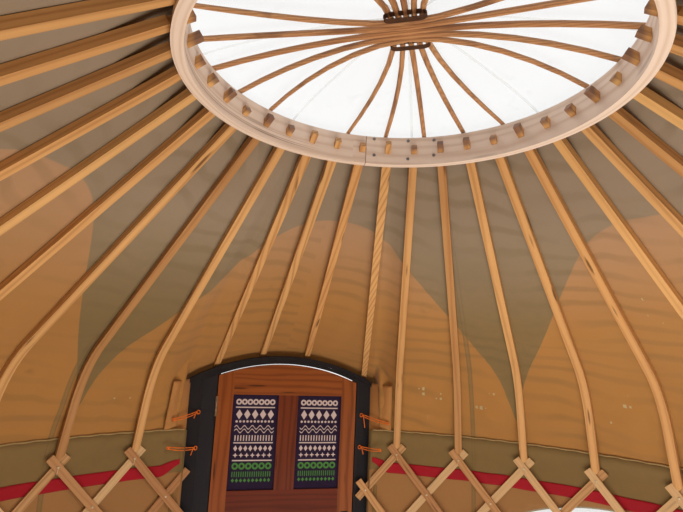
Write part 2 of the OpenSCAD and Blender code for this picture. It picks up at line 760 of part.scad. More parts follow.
// Over the door the canvas is stretched to the frame's cap, and its sides fall to the eaves
function front_row(a, d, r) = let(
        w = edge_lift(a),
        side = at(a, 1),
        out = (door_in + door_rib_on) / cos(a),
        rim = (total_r - gap) / cos(a),
        cap_x = (total_r - gap) * tan(a),
        plain = roof_edge(d, r),
        high = cap_z(out * sin(a)) + lift_z + d - roof_d,
        low = cap_z(cap_x) + cap_seat + d - roof_d)
    concat(
        [for (j = [0, 1]) [plain[j].x * side.x, plain[j].x * side.y, plain[j].y]],
        [for (j = [1 : 3]) let(q = plain[1].x + (plain[2].x - plain[1].x) * j / 4)
            [q * side.x, q * side.y, roof_z(a, q, d)]],
        [for (j = [0 : bend_steps]) let(q = plain[j + 2].x)
            [q * side.x, q * side.y, roof_z(a, q, d)]],
        [let(q = r + (out - r) * w, z = lower_z(r, d) + (high - lower_z(r, d)) * w)
            [q * side.x, q * side.y, z]],
        [let(q = r + (rim - r) * w, z = valance_z + (low - valance_z) * w)
            [q * side.x, q * side.y, z]]);

module roof_canvas_front() {
    color(canvas_tan) skin_between(
        [for (a = front_angles) front_row(a, roof_d, valance_in)],
        [for (a = front_angles) front_row(a, roof_d + canvas_t, valance_out)]);
}

module eave_rope() {
    a = front_a + 1;
    color(rope_white) sector(a, 360 - a) translate([eave_in + eave_d / 2, eave_z])
        circle(d = eave_d, $fn = 24);
}

// Door frame

module arch_cylinder(r, y, depth) {
    translate([0, -y, arch_z]) rotate([90, 0, 0]) cylinder(h = depth, r = r, $fn = 180);
}

module frame_bar(x, w, y, depth, under_r, low = 0) {
    intersection() {
        translate([x, -y - depth, low]) cube([w, depth, leaf_top - low]);
        arch_cylinder(under_r, y - 1, depth + 2);
    }
}

module door_post_left() {
    color(charcoal) frame_bar(frame_w / 2 - post_w, post_w, door_in, post_depth, cap_r - gap);
}

module door_post_right() {
    color(charcoal) frame_bar(-frame_w / 2, post_w, door_in, post_depth, cap_r - gap);
}

// A jamb on the +X side, from the leaf's gap at x to the post, with the leaf's stop
module jamb(x) {
    w = opening_w / 2 + jamb_w - x;
    back = door_in + leaf_t + 2 * leaf_gap - 4;
    color(charcoal) {
        frame_bar(x, w, door_in, post_depth, head_r - gap);
        frame_bar(x - stop_w, stop_w + 1, back, door_out - back, head_r - gap, sill_h + gap);
    }
}

module door_jamb_left() { jamb(opening_w / 2 + leaf_off); }
module door_jamb_right() { mirror([1, 0, 0]) jamb(opening_w / 2 - leaf_off); }

module door_head() {
    w = opening_w + 2 * jamb_w;
    color(charcoal) intersection() {
        difference() {
            arch_cylinder(head_r + head_t, door_in, post_depth);
            arch_cylinder(head_r, door_in - 1, post_depth + 2);
        }
        translate([-w / 2, -total_r, head_z]) cube([w, total_r, leaf_top]);
    }
}

module door_cap() {
    w = frame_w + 2 * cap_over;
    color(charcoal) intersection() {
        difference() {
            arch_cylinder(cap_top_r, door_in - cap_in, total_r - door_in + cap_in);
            arch_cylinder(cap_r, door_in - cap_in - 1, total_r);
        }
        translate([-w / 2, -total_r, head_z]) cube([w, total_r, leaf_top]);
    }
}

module door_sill() {
    color(charcoal) translate([leaf_off - opening_w / 2 + gap, -door_out, 0])
        cube([opening_w - 2 * gap, post_depth, sill_h]);
}

module door_ties() {
    x = frame_w / 2 - 18;
    knot_r = tie_d - 1;
    y = -door_in + gap;
    color(rope_orange) for (s = [-1, 1], z = [tie_low, tie_high]) {
        far = at(frame_a + 3, lower_r(max(z, hem_z), wall_d) - 12);
        translate([s * x, y, z]) rotate([-90, 0, 0])
            cylinder(r = knot_r, h = 2 * knot_r, $fn = 24);
        rod_between([s * x, y + 2 * knot_r - seat, z], [s * far.x, far.y, z - 14], tie_d);
    }
}

// Door leaf, closed: its inner face is flush with the frame's

leaf_half = leaf_w / 2;
rail_half = leaf_half - stile_w;

module leaf_bar(x, w, z, top) {
    intersection() {
        translate([leaf_off + x, -door_in - leaf_t, z]) cube([w, leaf_t, top - z]);
        arch_cylinder(arch_r, door_in - 1, leaf_t + 2);
    }
}

module leaf_hinge_stile() { color(varnished) leaf_bar(rail_half, stile_w, leaf_low, leaf_top); }
module leaf_latch_stile() { color(varnished) leaf_bar(-leaf_half, stile_w, leaf_low, leaf_top); }
module leaf_top_rail() { color(varnished) leaf_bar(-rail_half, 2 * rail_half, panel_high, leaf_top); }
module leaf_lock_rail() {
    color(varnished) leaf_bar(-rail_half, 2 * rail_half, panel_low - lock_rail_h, panel_low);
}
module leaf_bottom_rail() {
    color(varnished) leaf_bar(-rail_half, 2 * rail_half, leaf_low, leaf_low + bottom_rail_h);
}
module leaf_muntin() { color(varnished) leaf_bar(-muntin_w / 2, muntin_w, panel_low, panel_high); }
module leaf_lower_muntin() {
    color(varnished) leaf_bar(-muntin_w / 2, muntin_w, leaf_low + bottom_rail_h,
        panel_low - lock_rail_h);
}

module leaf_panel_pair(low, high) {
    w = rail_half - muntin_w / 2;
    for (x = [-rail_half, muntin_w / 2])
        translate([leaf_off + x, -door_in - panel_set - panel_t, low])
            cube([w, panel_t, high - low]);
}

module leaf_upper_panels() { color(navy) leaf_panel_pair(panel_low, panel_high); }
module leaf_lower_panels() {
    color(varnished) leaf_panel_pair(leaf_low + bottom_rail_h, panel_low - lock_rail_h);
}

// Fittings: two butt hinges on the +X side, with their knuckles on the inner face

hinge_x = leaf_off + leaf_half + leaf_gap / 2;
hinge_y = -door_in + knuckle_r;
knuckle_part = hinge_h / 5;

module knuckle(z, h) {
    translate([hinge_x, hinge_y, z]) cylinder(h = h, r = knuckle_r, $fn = 32);
}

module hinge_plate(x, z) {
    translate([x, -door_in - leaf_t + 8, z - hinge_h / 2])
        cube([plate_t, leaf_t - 8 + knuckle_r, hinge_h]);
}

module hinge_frame_half() {
    color(bright_metal) for (z = [hinge_low, hinge_high]) {
        low = z - hinge_h / 2;
        for (i = [0, 2, 4]) knuckle(low + i * knuckle_part, knuckle_part);
        translate([hinge_x, hinge_y, low]) cylinder(h = hinge_h, r = pin_r, $fn = 32);
        difference() {
            hinge_plate(leaf_off + opening_w / 2 - plate_t, z);
            for (i = [1, 3]) translate([0, 0, low + i * knuckle_part - 1])
                translate([hinge_x, hinge_y, 0]) cylinder(h = knuckle_part + 2, r = knuckle_r + 1);
        }
    }
}

module hinge_leaf_half() {
    color(bright_metal) for (z = [hinge_low, hinge_high]) difference() {
        low = z - hinge_h / 2;
        union() {
            for (i = [1, 3]) knuckle(low + i * knuckle_part + 1, knuckle_part - 2);
            difference() {
                hinge_plate(leaf_off + leaf_half, z);
                for (i = [0, 2, 4]) translate([hinge_x, hinge_y, low + i * knuckle_part - 1])
                    cylinder(h = knuckle_part + 2, r = knuckle_r + 1);
            }
        }
        translate([hinge_x, hinge_y, low - 1])
            cylinder(h = hinge_h + 2, r = pin_r + pin_fit, $fn = 32);
    }
}

// Latch: a plate, a spindle boss and a lever on each face of the leaf. The outer lever
// stays within the frame's depth.
module door_latch() {
    x = leaf_off - leaf_half + stile_w / 2;
    plate_w = 38;
    plate_h = 150;
    latch_plate_t = 3;
    lever_r = 7;
    stand_in = 34;
    stand_out = total_r - door_in - leaf_t - seat;
    lever_up = 25;
    color(dark_metal) for (side = [0, 1]) {
        face = side == 0 ? -door_in : -door_in - leaf_t;
        way = side == 0 ? 1 : -1;
        stand = side == 0 ? stand_in : stand_out;
        translate([x - plate_w / 2, side == 0 ? face : face - latch_plate_t, latch_z - plate_h / 2])
            cube([plate_w, latch_plate_t, plate_h]);
        translate([x, face, latch_z + lever_up]) rotate([-90 * way, 0, 0])
            cylinder(h = stand, r = lever_r, $fn = 32);
        translate([x, face + way * (stand - lever_r), latch_z + lever_up]) rotate([0, 90, 0])
            cylinder(h = lever_l, r = lever_r, $fn = 32);
    }
}

crown_hoop();
crown_rods_across();
crown_rods_along();
rod_lashings();
crown_dome();
crown_cover();
cover_straps();
door_ribs();
ribs_left();
ribs_right();
ribs_back();
inner_laths();
outer_laths();
tension_belt();
wall_canvas_left();
wall_canvas_back_left();
wall_canvas_back_right();
wall_canvas_right();
wall_hem_rope();
windows();
roof_canvas_front();
roof_canvas_left();
roof_canvas_back_left();
roof_canvas_back_right();
roof_canvas_right();
eave_rope();
door_post_left();
door_post_right();
door_jamb_left();
door_jamb_right();
door_head();
door_cap();
door_sill();
door_ties();
hinge_frame_half();
leaf_hinge_stile();
leaf_latch_stile();
leaf_top_rail();
leaf_lock_rail();
leaf_bottom_rail();
leaf_muntin();
leaf_lower_muntin();
leaf_upper_panels();
leaf_lower_panels();
hinge_leaf_half();
door_latch();
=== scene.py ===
# %% [markdown]
# # A bent-rib yurt, dressed for a picture taken inside it
#
# A yurt is a round frame of wood under cloth. Its ribs rise from a lattice of laths to a
# hoop, the hoop carries a dome of clear sheet, and one side holds a framed door. The solids
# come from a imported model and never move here. Each wooden solid gets a finish, and each
# piece of cloth is made again as thin, creased cloth in the space its solid keeps.

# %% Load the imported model
import math
import bpy
import numpy as np
from mathutils import Matrix, Vector, geometry


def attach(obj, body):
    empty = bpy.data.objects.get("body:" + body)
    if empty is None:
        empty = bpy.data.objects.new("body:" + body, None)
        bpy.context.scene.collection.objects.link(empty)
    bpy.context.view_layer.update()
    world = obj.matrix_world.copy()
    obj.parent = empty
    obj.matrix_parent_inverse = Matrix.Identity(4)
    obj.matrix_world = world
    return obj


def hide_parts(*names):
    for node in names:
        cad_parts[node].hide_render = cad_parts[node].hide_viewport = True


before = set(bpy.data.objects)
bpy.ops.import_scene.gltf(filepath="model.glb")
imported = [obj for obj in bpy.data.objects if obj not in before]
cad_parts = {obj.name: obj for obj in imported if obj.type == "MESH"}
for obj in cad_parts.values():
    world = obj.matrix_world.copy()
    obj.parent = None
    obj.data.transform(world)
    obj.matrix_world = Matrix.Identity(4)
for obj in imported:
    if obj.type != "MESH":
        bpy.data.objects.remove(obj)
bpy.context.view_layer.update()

# %% [markdown]
# ## The camera
#
# The picture is taken with a wide lens from behind the middle of the room, a little above
# head height when seated, and it looks up across the door. A tilted camera could be turned by
# Euler angles, but three axes written as vectors are easier to check against the walls: one
# forwards, one to the right and one up, turned together by a small roll.

# %% Place the camera
EYE_AT, LENS_MM = (0.3488, 0.9518, 1.802), 26.07
YAW, PITCH, ROLL = (math.radians(v) for v in (13.013, 9.534, 2.570))
forward = Vector((-math.sin(YAW) * math.cos(PITCH), -math.cos(YAW) * math.cos(PITCH), math.sin(PITCH)))
level_right = Vector((-math.cos(YAW), math.sin(YAW), 0))
level_up = level_right.cross(forward)
right = level_right * math.cos(ROLL) + level_up * math.sin(ROLL)
upward = level_up * math.cos(ROLL) - level_right * math.sin(ROLL)
eye = bpy.data.objects.new("eye", bpy.data.cameras.new("eye"))
bpy.context.scene.collection.objects.link(eye)
eye.matrix_world = Matrix((right, upward, -forward)).transposed().to_4x4()
eye.location = EYE_AT
eye.data.sensor_width = 36
eye.data.lens = LENS_MM
eye.data.clip_start = 0.02
bpy.context.scene.camera = eye
print("camera at", [round(v, 3) for v in eye.location])

# %% [markdown]
# ## Shader maths as plain sums
#
# A finish is a small sum: grain plus knots, lighter where the cloth is single. Wiring Math
# nodes by hand hides that sum, so one class wraps a socket and lets Python's own signs add
# the nodes. Numbers go through Math, vectors through Vector Math and colours through Mix,
# because a Math node turns a colour grey.

# %% Wrap a socket
class Wire:
    """An output of a node in the finish being made."""

    def __init__(self, finish, socket):
        self.finish, self.socket = finish, socket

    def _sum(self, operation, first, second):
        kinds = [v.socket.type for v in (first, second) if isinstance(v, Wire)]
        if "RGBA" in kinds:
            return self.finish.blend(first, second, 1.0, operation)
        if "VECTOR" in kinds:
            if operation == "MULTIPLY" and "VALUE" in kinds:
                vector, number = (first, second) if first.socket.type == "VECTOR" else (second, first)
                return self.finish.node("ShaderNodeVectorMath", {"operation": "SCALE"},
                    {0: vector, 3: number})
            return self.finish.node("ShaderNodeVectorMath", {"operation": operation},
                {0: first, 1: second})
        return self.finish.node("ShaderNodeMath", {"operation": operation}, {0: first, 1: second})

    def __add__(self, other): return self._sum("ADD", self, other)
    def __radd__(self, other): return self._sum("ADD", other, self)
    def __sub__(self, other): return self._sum("SUBTRACT", self, other)
    def __rsub__(self, other): return self._sum("SUBTRACT", other, self)
    def __mul__(self, other): return self._sum("MULTIPLY", self, other)
    def __rmul__(self, other): return self._sum("MULTIPLY", other, self)
    def __truediv__(self, other): return self._sum("DIVIDE", self, other)
    def __neg__(self): return self._sum("MULTIPLY", self, -1.0)


# %% One method for every other node
class Finish:
    """The nodes of a material, or of another owner of nodes, written as sums."""

    def __init__(self, name, owner=None):
        self.material = owner or bpy.data.materials.new(name)
        self.material.use_nodes = True
        self.tree = self.material.node_tree
        self.tree.nodes.clear()
        self.place = None

    def node(self, kind, settings=None, inputs=None, output=0):
        new = self.tree.nodes.new(kind)
        for key, value in (settings or {}).items():
            setattr(new, key, value)
        for key, value in (inputs or {}).items():
            if isinstance(value, Wire):
                self.tree.links.new(value.socket, new.inputs[key])
            elif new.inputs[key].type == "RGBA" and len(value) == 3:
                new.inputs[key].default_value = (*value, 1)
            else:
                new.inputs[key].default_value = value
        return Wire(self, new.outputs[output]) if new.outputs else None

    def math(self, operation, *values):
        return self.node("ShaderNodeMath", {"operation": operation}, dict(enumerate(values)))

    def blend(self, first, second, share, how="MIX"):
        return self.node("ShaderNodeMix", {"data_type": "RGBA", "blend_type": how},
            {0: share, 6: first, 7: second}, output=2)

    def step(self, value, low, high):
        """0 below low, 1 above high, smooth between."""
        return self.node("ShaderNodeMapRange", {"interpolation_type": "SMOOTHSTEP"},
            {0: value, 1: low, 2: high, 3: 0.0, 4: 1.0})

    def vector(self, x, y, z):
        return self.node("ShaderNodeCombineXYZ", None, {0: x, 1: y, 2: z})

    def noise(self, vector, scale, detail=2.0):
        return self.node("ShaderNodeTexNoise", None,
            {"Vector": vector, "Scale": scale, "Detail": detail})

    def position(self):
        """x, y and z in the object's own metres, so a finish stays put when its piece moves."""
        if self.place is None:
            spot = self.node("ShaderNodeTexCoord", output=3)
            split = self.node("ShaderNodeSeparateXYZ", None, {0: spot})
            outputs = split.socket.node.outputs
            self.place = [spot] + [Wire(self, outputs[i]) for i in range(3)]
        return self.place

    def bump(self, height, distance, strength):
        return self.node("ShaderNodeBump", None,
            {"Height": height, "Distance": distance, "Strength": strength})

    def surface(self, colour, roughness, normal=None, **others):
        inputs = {"Base Color": colour, "Roughness": roughness}
        if normal is not None:
            inputs["Normal"] = normal
        inputs.update({key.replace("_", " "): value for key, value in others.items()})
        shader = self.node("ShaderNodeBsdfPrincipled", None, inputs)
        self.node("ShaderNodeOutputMaterial", None, {"Surface": shader})
        return self.material


def tone(red, green, blue):
    """A colour given as it looks on screen, 0 to 255, turned into light."""
    return tuple(((v / 255 + 0.055) / 1.055) ** 2.4 if v > 10 else v / 255 / 12.92
        for v in (red, green, blue))


def scaled(colour, share, more=0.0):
    """The same colour darker or lighter."""
    return tuple(min(1.0, v * share + more) for v in colour)


def paint(material, *nodes):
    """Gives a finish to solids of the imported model."""
    for node in nodes:
        slots = bpy.data.objects[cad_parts[node].name].material_slots
        for slot in slots:
            slot.link = "OBJECT"
            slot.material = material
    print(material.name, "on", ", ".join(nodes))


# %% [markdown]
# ## Round the room
#
# Nearly every finish needs to know how far round the room a point lies, counted from the door,
# and how far out. Both come from its x and y, so no unwrapped texture is needed and the grain
# runs on from one piece to the next.

# %% Angle and radius inside a finish
FULL_TURN, DEGREE = 2 * math.pi, math.pi / 180
ROOF_MEAN_R, RIM_R = 1.4, 1.84


def round_room(finish):
    """Angle from the door in degrees, 0 to 360, radius and height in metres."""
    _, x, y, z = finish.position()
    angle = finish.math("ARCTAN2", x, -y) * (360 / FULL_TURN)
    angle = finish.math("WRAP", angle, 360.0, 0.0)
    radius = finish.math("SQRT", x * x + y * y)
    return angle, radius, z


def by_number(finish, number, seed):
    """A chance value from 0 to 1 for each whole number."""
    return finish.node("ShaderNodeTexWhiteNoise", {"noise_dimensions": "2D"},
        {"Vector": finish.vector(number, seed, 0.0)})

# %% [markdown]
# ## Planed wood
#
# Softwood shows soft pale bands and thin dark ones, fine fibres, and a knot here and there.
# The bands come from a sine of the depth in the board, pushed about by a slow noise that is
# stretched along it, so they run like real growth rings that a plane has cut at a slant.
# An image could do this too, but sums follow any piece and need no unwrapping.

# %% Write the wood once for all the pieces
def wood(finish, along, across, depth, number, pale, dark, ring=0.007, contrast=0.55,
        knot_share=1.0, red=0.25, drift_by=12.0):
    """Colour, roughness and height of planed wood, from three lengths in metres."""
    shift = number * 9.0
    stretched = finish.vector(along * 1.7 + shift * 3.0, across * 15.0 + shift, depth * 15.0)
    drift = finish.noise(stretched, 1.0, 2.0)
    phase = (across * 0.45 + depth * 0.9) * (FULL_TURN / ring) + drift * drift_by + number * 31.0
    late = finish.math("POWER", finish.math("SINE", phase) * 0.5 + 0.5, 2.5)
    fibre = finish.noise(finish.vector(along * 7.0 + shift, across * 420.0, depth * 420.0), 1.0, 2.0)
    blotch = finish.noise(finish.vector(along * 3.0 + shift, across * 9.0, depth * 9.0), 1.0, 3.0)
    knots = finish.node("ShaderNodeTexVoronoi", {"feature": "F1"}, {
        "Vector": finish.vector(along * 2.6 + shift * 5.0, across * 26.0 + shift, depth * 26.0),
        "Scale": 1.0})
    knot = (1.0 - finish.step(knots, 0.07, 0.17)) * knot_share
    share = late * contrast + fibre * 0.35 + blotch * 0.35 - 0.25
    colour = finish.blend(pale, dark, finish.node("ShaderNodeClamp", None, {0: share}))
    ruddy = (pale[0] * 0.82, pale[1] * 0.58, pale[2] * 0.40)
    colour = finish.blend(colour, ruddy, finish.math("FRACT", number * 7.7) * red)
    colour = finish.blend(colour, scaled(dark, 0.28), knot * 0.8)
    height = fibre * 0.5 + late * 0.3 - knot * 0.3
    return colour, 0.46 + fibre * 0.2 + late * 0.08, height


def wooden(finish, made, distance=0.0007, **others):
    colour, roughness, height = made
    return finish.surface(colour, roughness, finish.bump(height, distance, 0.5), **others)


# %% [markdown]
# ## Ribs
#
# Each rib is steamed and bent once, so its grain follows the bend. The finish finds the rib
# from the angle and the radius, because the ribs stand 10 degrees apart in the hoop and a
# little wider on the lattice. The number of the rib then picks its own piece of the log.

# %% Finish of the ribs
HOOP_R, WALL_R, KNEE_R, KNEE_Z, BEND_R = 0.466, 1.830, 1.652, 1.639, 0.600
PEG_Z, CROTCH_Z, HEADS, WALL_TURN = 2.389, 1.2276, 32, 1.4
FRAME_HALF, POST_TO_RIB = 0.4873, 0.179
FIRST_PEG, PEG_STEP = 25.0, 10.0
FIRST_HEAD = math.degrees(math.asin((FRAME_HALF + POST_TO_RIB) / WALL_R))
HEAD_STEP = (360 - 2 * FIRST_HEAD) / (HEADS - 1)
SLOPE_UP = math.atan((PEG_Z - KNEE_Z) / (KNEE_R - HOOP_R))
SLOPE_DOWN = math.atan((KNEE_Z - CROTCH_Z) / (WALL_R - KNEE_R))
_tangent = BEND_R * math.tan((SLOPE_DOWN - SLOPE_UP) / 2)
BEND_X = KNEE_R - _tangent * math.cos(SLOPE_UP) - BEND_R * math.sin(SLOPE_UP)
BEND_Z = KNEE_Z + _tangent * math.sin(SLOPE_UP) - BEND_R * math.cos(SLOPE_UP)


def rib_count(angle, radius):
    """Which rib stands at a place, with the share to the next; for sockets and for numbers."""
    lean = HOOP_R * (WALL_R - radius) / (radius * (WALL_R - HOOP_R))
    turned = angle - (WALL_TURN + FIRST_HEAD)
    return (turned - lean * (FIRST_PEG - FIRST_HEAD)) / (HEAD_STEP + lean * (PEG_STEP - HEAD_STEP))


def rib_finish(name, pale, dark):
    finish = Finish(name)
    angle, radius, z = round_room(finish)
    count = rib_count(angle, radius)
    whole = finish.math("ROUND", count)
    across = (count - whole) * math.radians(HEAD_STEP) * radius
    up = (z - PEG_Z) * math.cos(SLOPE_UP) + (radius - HOOP_R) * math.sin(SLOPE_UP)
    down = (z - CROTCH_Z) * math.cos(SLOPE_DOWN) + (radius - WALL_R) * math.sin(SLOPE_DOWN)
    aim = finish.math("ARCTAN2", z - BEND_Z, radius - BEND_X)
    bent = finish.math("SQRT", (z - BEND_Z) * (z - BEND_Z) + (radius - BEND_X) * (radius - BEND_X))
    high = finish.math("GREATER_THAN", aim, math.pi / 2 - SLOPE_UP)
    low = finish.math("LESS_THAN", aim, math.pi / 2 - SLOPE_DOWN)
    depth = up * high + down * low + (bent - BEND_R) * (1.0 - high) * (1.0 - low)
    number = by_number(finish, whole, 3.0)
    made = wood(finish, (radius - z) / 1.35, across, depth, number, pale, dark,
        ring=0.012, contrast=0.42, drift_by=7.0)
    fair = finish.step(by_number(finish, whole, 8.0), 0.60, 0.85)
    brown = finish.step(by_number(finish, whole, 11.0), 0.50, 0.90)
    colour = finish.blend(made[0], tone(128, 80, 44), brown * 0.5)
    colour = finish.blend(colour, tone(226, 184, 120), fair * 0.65)
    # The ends of the pegs, inside the hoop, are darker: partly their end grain, partly painted shade
    end = 1.0 - finish.step(radius, 0.448, 0.462)
    colour = finish.blend(colour, tone(104, 78, 74), end * 0.75)
    return wooden(finish, (colour, made[1], made[2]))


RIB_PALE, RIB_DARK = tone(212, 166, 108), tone(152, 102, 58)
ribs = rib_finish("planed_ribs", RIB_PALE, RIB_DARK)
paint(ribs, "ribs_left", "ribs_right", "ribs_back")


def door_rib_finish():
    """Four straight ribs over the door, told apart by their x."""
    finish = Finish("door_rib_wood")
    _, x, y, z = finish.position()
    # Lines half way between two ribs, from the hoop outwards
    far = (y + HOOP_R) * (-1 / 1.37)
    lane = 0.0
    for near_x, more in ((-0.069, -0.221), (0.0115, -0.0115), (0.092, 0.152)):
        lane = lane + finish.math("GREATER_THAN", x - far * more, near_x)
    number = by_number(finish, lane, 5.0)
    made = wood(finish, y * -0.9 - z * 0.4, x, z * 0.9 - y * 0.45, number, RIB_PALE, RIB_DARK, ring=0.009)
    return wooden(finish, made)


paint(door_rib_finish(), "door_ribs")

# %% [markdown]
# ## Hoop and rods of the crown
#
# The hoop is one thick strip bent to a ring, and a scarf joint closes it. Its grain runs round
# the ring. Ten thin rods stand in its top edge, arch over the opening and cross in two bundles.

# %% Finish of the hoop
SCARF_ANGLE, HOOP_LOW = 354.9, 2.345


def hoop_finish():
    finish = Finish("hoop_wood")
    angle, radius, z = round_room(finish)
    around = angle * (FULL_TURN / 360 * HOOP_R)
    past = finish.math("WRAP", angle + (180.0 - SCARF_ANGLE), 360.0, 0.0)
    part = finish.math("GREATER_THAN", past, 180.0)
    made = wood(finish, around, z, radius, part * 0.31 + 0.2, tone(240, 226, 212), tone(208, 184, 162),
        ring=0.013, contrast=0.5, knot_share=0.4, red=0.15)
    colour, roughness, height = made
    near = finish.math("ABSOLUTE", past - 180.0)
    scarf = 1.0 - finish.step(near, 0.07, 0.16)
    lines = 0.0
    for at, width in ((0.0145, 0.0008), (0.0205, 0.0007), (0.0300, 0.0005)):
        wander = finish.noise(finish.vector(around * 1.3, at * 90.0, 0.0), 1.0) * 0.006 - 0.003
        off = finish.math("ABSOLUTE", z - (HOOP_LOW + at) - wander)
        lines = lines + (1.0 - finish.step(off, width * 0.4, width * 1.6))
    # The strip's layers show only on the side that the door is hinged on
    shown = finish.step(angle, 9.4, 25.4) * (1.0 - finish.step(angle, 83.4, 111.4))
    marks = finish.node("ShaderNodeClamp", None, {0: lines * shown * 0.6 + scarf * 0.85})
    colour = finish.blend(colour, tone(96, 58, 34), marks)
    return wooden(finish, (colour, roughness, height - marks * 1.2), 0.0008)


paint(hoop_finish(), "crown_hoop")


def rod_finish(name, turn):
    """Peeled rod: the grain runs along the bundle, with a few darker skins left on."""
    finish = Finish(name)
    _, x, y, z = finish.position()
    c, s = math.cos(math.radians(turn)), math.sin(math.radians(turn))
    along, across = x * s - y * c, x * c + y * s
    lane = by_number(finish, finish.math("ROUND", across * 70.0), 2.0)
    made = wood(finish, along, across, z, lane * 0.2 + 0.4, tone(196, 150, 106), tone(132, 88, 56),
        ring=0.006, contrast=0.5, knot_share=0.5)
    bark = finish.noise(finish.vector(along * 5.0, across * 30.0, z * 30.0), 1.0, 3.0)
    skin = finish.step(bark, 0.52, 0.66)
    colour = finish.blend(made[0], tone(110, 72, 50), skin * 0.55)
    return wooden(finish, (colour, made[1], made[2]))


ROD_TURN = 62.8
paint(rod_finish("rod_wood_across", ROD_TURN), "crown_rods_across")
paint(rod_finish("rod_wood_along", ROD_TURN - 90), "crown_rods_along")

# %% [markdown]
# ## Lattice
#
# Two layers of thin laths lean to opposite sides, tied where they cross. Along a lath the
# column and the row change together, so their sum, or for the other layer their difference,
# is one number for the whole lath: it tells the laths apart, and the rest of it lies across.

# %% Finish of the laths
ROW_H, HEAD_Z = 0.190, 1.200
HALF_STEP = HEAD_STEP / 2
EDGE_A = FIRST_HEAD - HALF_STEP
LATH_SLOPE = math.atan(ROW_H / (WALL_R * math.radians(HALF_STEP)))


def lath_finish(name, lean, pale, dark):
    finish = Finish(name)
    angle, radius, z = round_room(finish)
    column = (angle - (WALL_TURN + EDGE_A)) / HALF_STEP
    row = (HEAD_Z - z) / ROW_H
    count = column + row * lean
    whole = finish.math("ROUND", (count - 1.0) / 2.0)
    across = (count - 1.0 - whole * 2.0) * (ROW_H * math.cos(LATH_SLOPE))
    along = column * (HALF_STEP * DEGREE * WALL_R * math.cos(LATH_SLOPE)) \
        - row * (lean * ROW_H * math.sin(LATH_SLOPE))
    number = by_number(finish, whole, 4.0 + lean)
    made = wood(finish, along, across, radius, number, pale, dark, ring=0.009, contrast=0.5)
    ruddy = finish.step(by_number(finish, whole, 9.0 + lean), 0.5, 0.95)
    fair = finish.step(by_number(finish, whole, 14.0 + lean), 0.45, 0.85)
    colour = finish.blend(made[0], tone(150, 98, 60), ruddy * 0.6)
    colour = finish.blend(colour, tone(214, 184, 138), fair * 0.6)
    return wooden(finish, (colour, made[1], made[2]))


paint(lath_finish("inner_lath_wood", 1.0, tone(206, 164, 114), tone(150, 106, 66)), "inner_laths")
paint(lath_finish("outer_lath_wood", -1.0, tone(196, 156, 108), tone(140, 98, 60)), "outer_laths")

# %% [markdown]
# ## Painted door frame
#
# Posts, jambs, the arched head and its cap are brushed with a dark grey paint. The brush
# leaves fine streaks along each board, the grain swells through, and the paint thins to wood
# in places. A mask from sharp edges would need the edges' places, so the wear here comes from
# the same streaks and grain.

# %% Finish of the frame
def frame_paint(name, upright=True, shade=1.0):
    finish = Finish(name)
    _, x, y, z = finish.position()
    long, wide = (z, x) if upright else (x, z)
    streaks = finish.noise(finish.vector(long * 5.0, wide * 260.0, y * 260.0), 1.0, 3.0)
    swell = finish.noise(finish.vector(long * 1.6, wide * 40.0, y * 40.0), 1.0, 2.0)
    dust = finish.noise(finish.vector(x * 4.0, y * 4.0, z * 4.0), 1.0, 4.0)
    worn = finish.step(streaks * 0.5 + swell * 0.5, 0.66, 0.74)
    base = finish.blend(scaled(tone(20, 24, 30), shade), scaled(tone(32, 36, 43), shade), dust * 0.7)
    colour = finish.blend(base, tone(76, 62, 54), worn * 0.25)
    rough = 0.42 + streaks * 0.2 + dust * 0.1
    return finish.surface(colour, rough, finish.bump(streaks * 0.6 + swell * 0.6, 0.0009, 0.6))


paint(frame_paint("painted_posts"), "door_post_left", "door_post_right")
# The jambs are painted lighter and the head, cap and sill darker: painted light and painted shade on one
# paint
paint(frame_paint("jamb_paint_painted_light", shade=1.25), "door_jamb_left", "door_jamb_right")
paint(frame_paint("head_paint_painted_shade", upright=False, shade=0.9), "door_head", "door_cap", "door_sill")

# %% [markdown]
# ## Varnished door
#
# The leaf is a framed and panelled door of knotty softwood under an orange-brown varnish. Its
# uprights have upright grain and its rails lie flat, so each direction has a finish. A thin
# coat over the colour gives the varnish its gloss.

# %% Finish of the leaf
def door_wood(name, upright, pale, dark, seed):
    finish = Finish(name)
    _, x, y, z = finish.position()
    long, wide = (z, x) if upright else (x, z)
    lane = by_number(finish, finish.math("ROUND", wide * 3.0), seed)
    colour, roughness, height = wood(finish, long, wide, y, lane * 0.3 + seed * 0.07, pale, dark,
        ring=0.016, contrast=0.6, knot_share=1.0, red=0.3)
    return wooden(finish, (colour, 0.30 + roughness * 0.25, height), 0.0005,
        Coat_Weight=0.35, Coat_Roughness=0.22)


DOOR_PALE, DOOR_DARK = tone(146, 80, 34), tone(92, 42, 18)
paint(door_wood("stile_wood", True, DOOR_PALE, DOOR_DARK, 1.0),
    "leaf_hinge_stile", "leaf_latch_stile", "leaf_lower_panels")
paint(door_wood("muntin_wood", True, tone(110, 48, 24), tone(66, 24, 12), 2.0),
    "leaf_muntin", "leaf_lower_muntin")
paint(door_wood("top_rail_wood", False, DOOR_PALE, DOOR_DARK, 3.0), "leaf_top_rail")
paint(door_wood("rail_wood", False, tone(104, 40, 20), tone(62, 20, 10), 4.0),
    "leaf_lock_rail", "leaf_bottom_rail")

# %% [markdown]
# ## Printed panels
#
# Two dark violet-blue boards fill the upper half of the door. They are printed with rows of
# plain marks in off-white, and the lowest rows are green. The marks here are a plain design:
# circles, lozenges, waves and bars. Each row repeats one shape, written as the distance from
# the middle of a small cell, so the print stays sharp at any size.

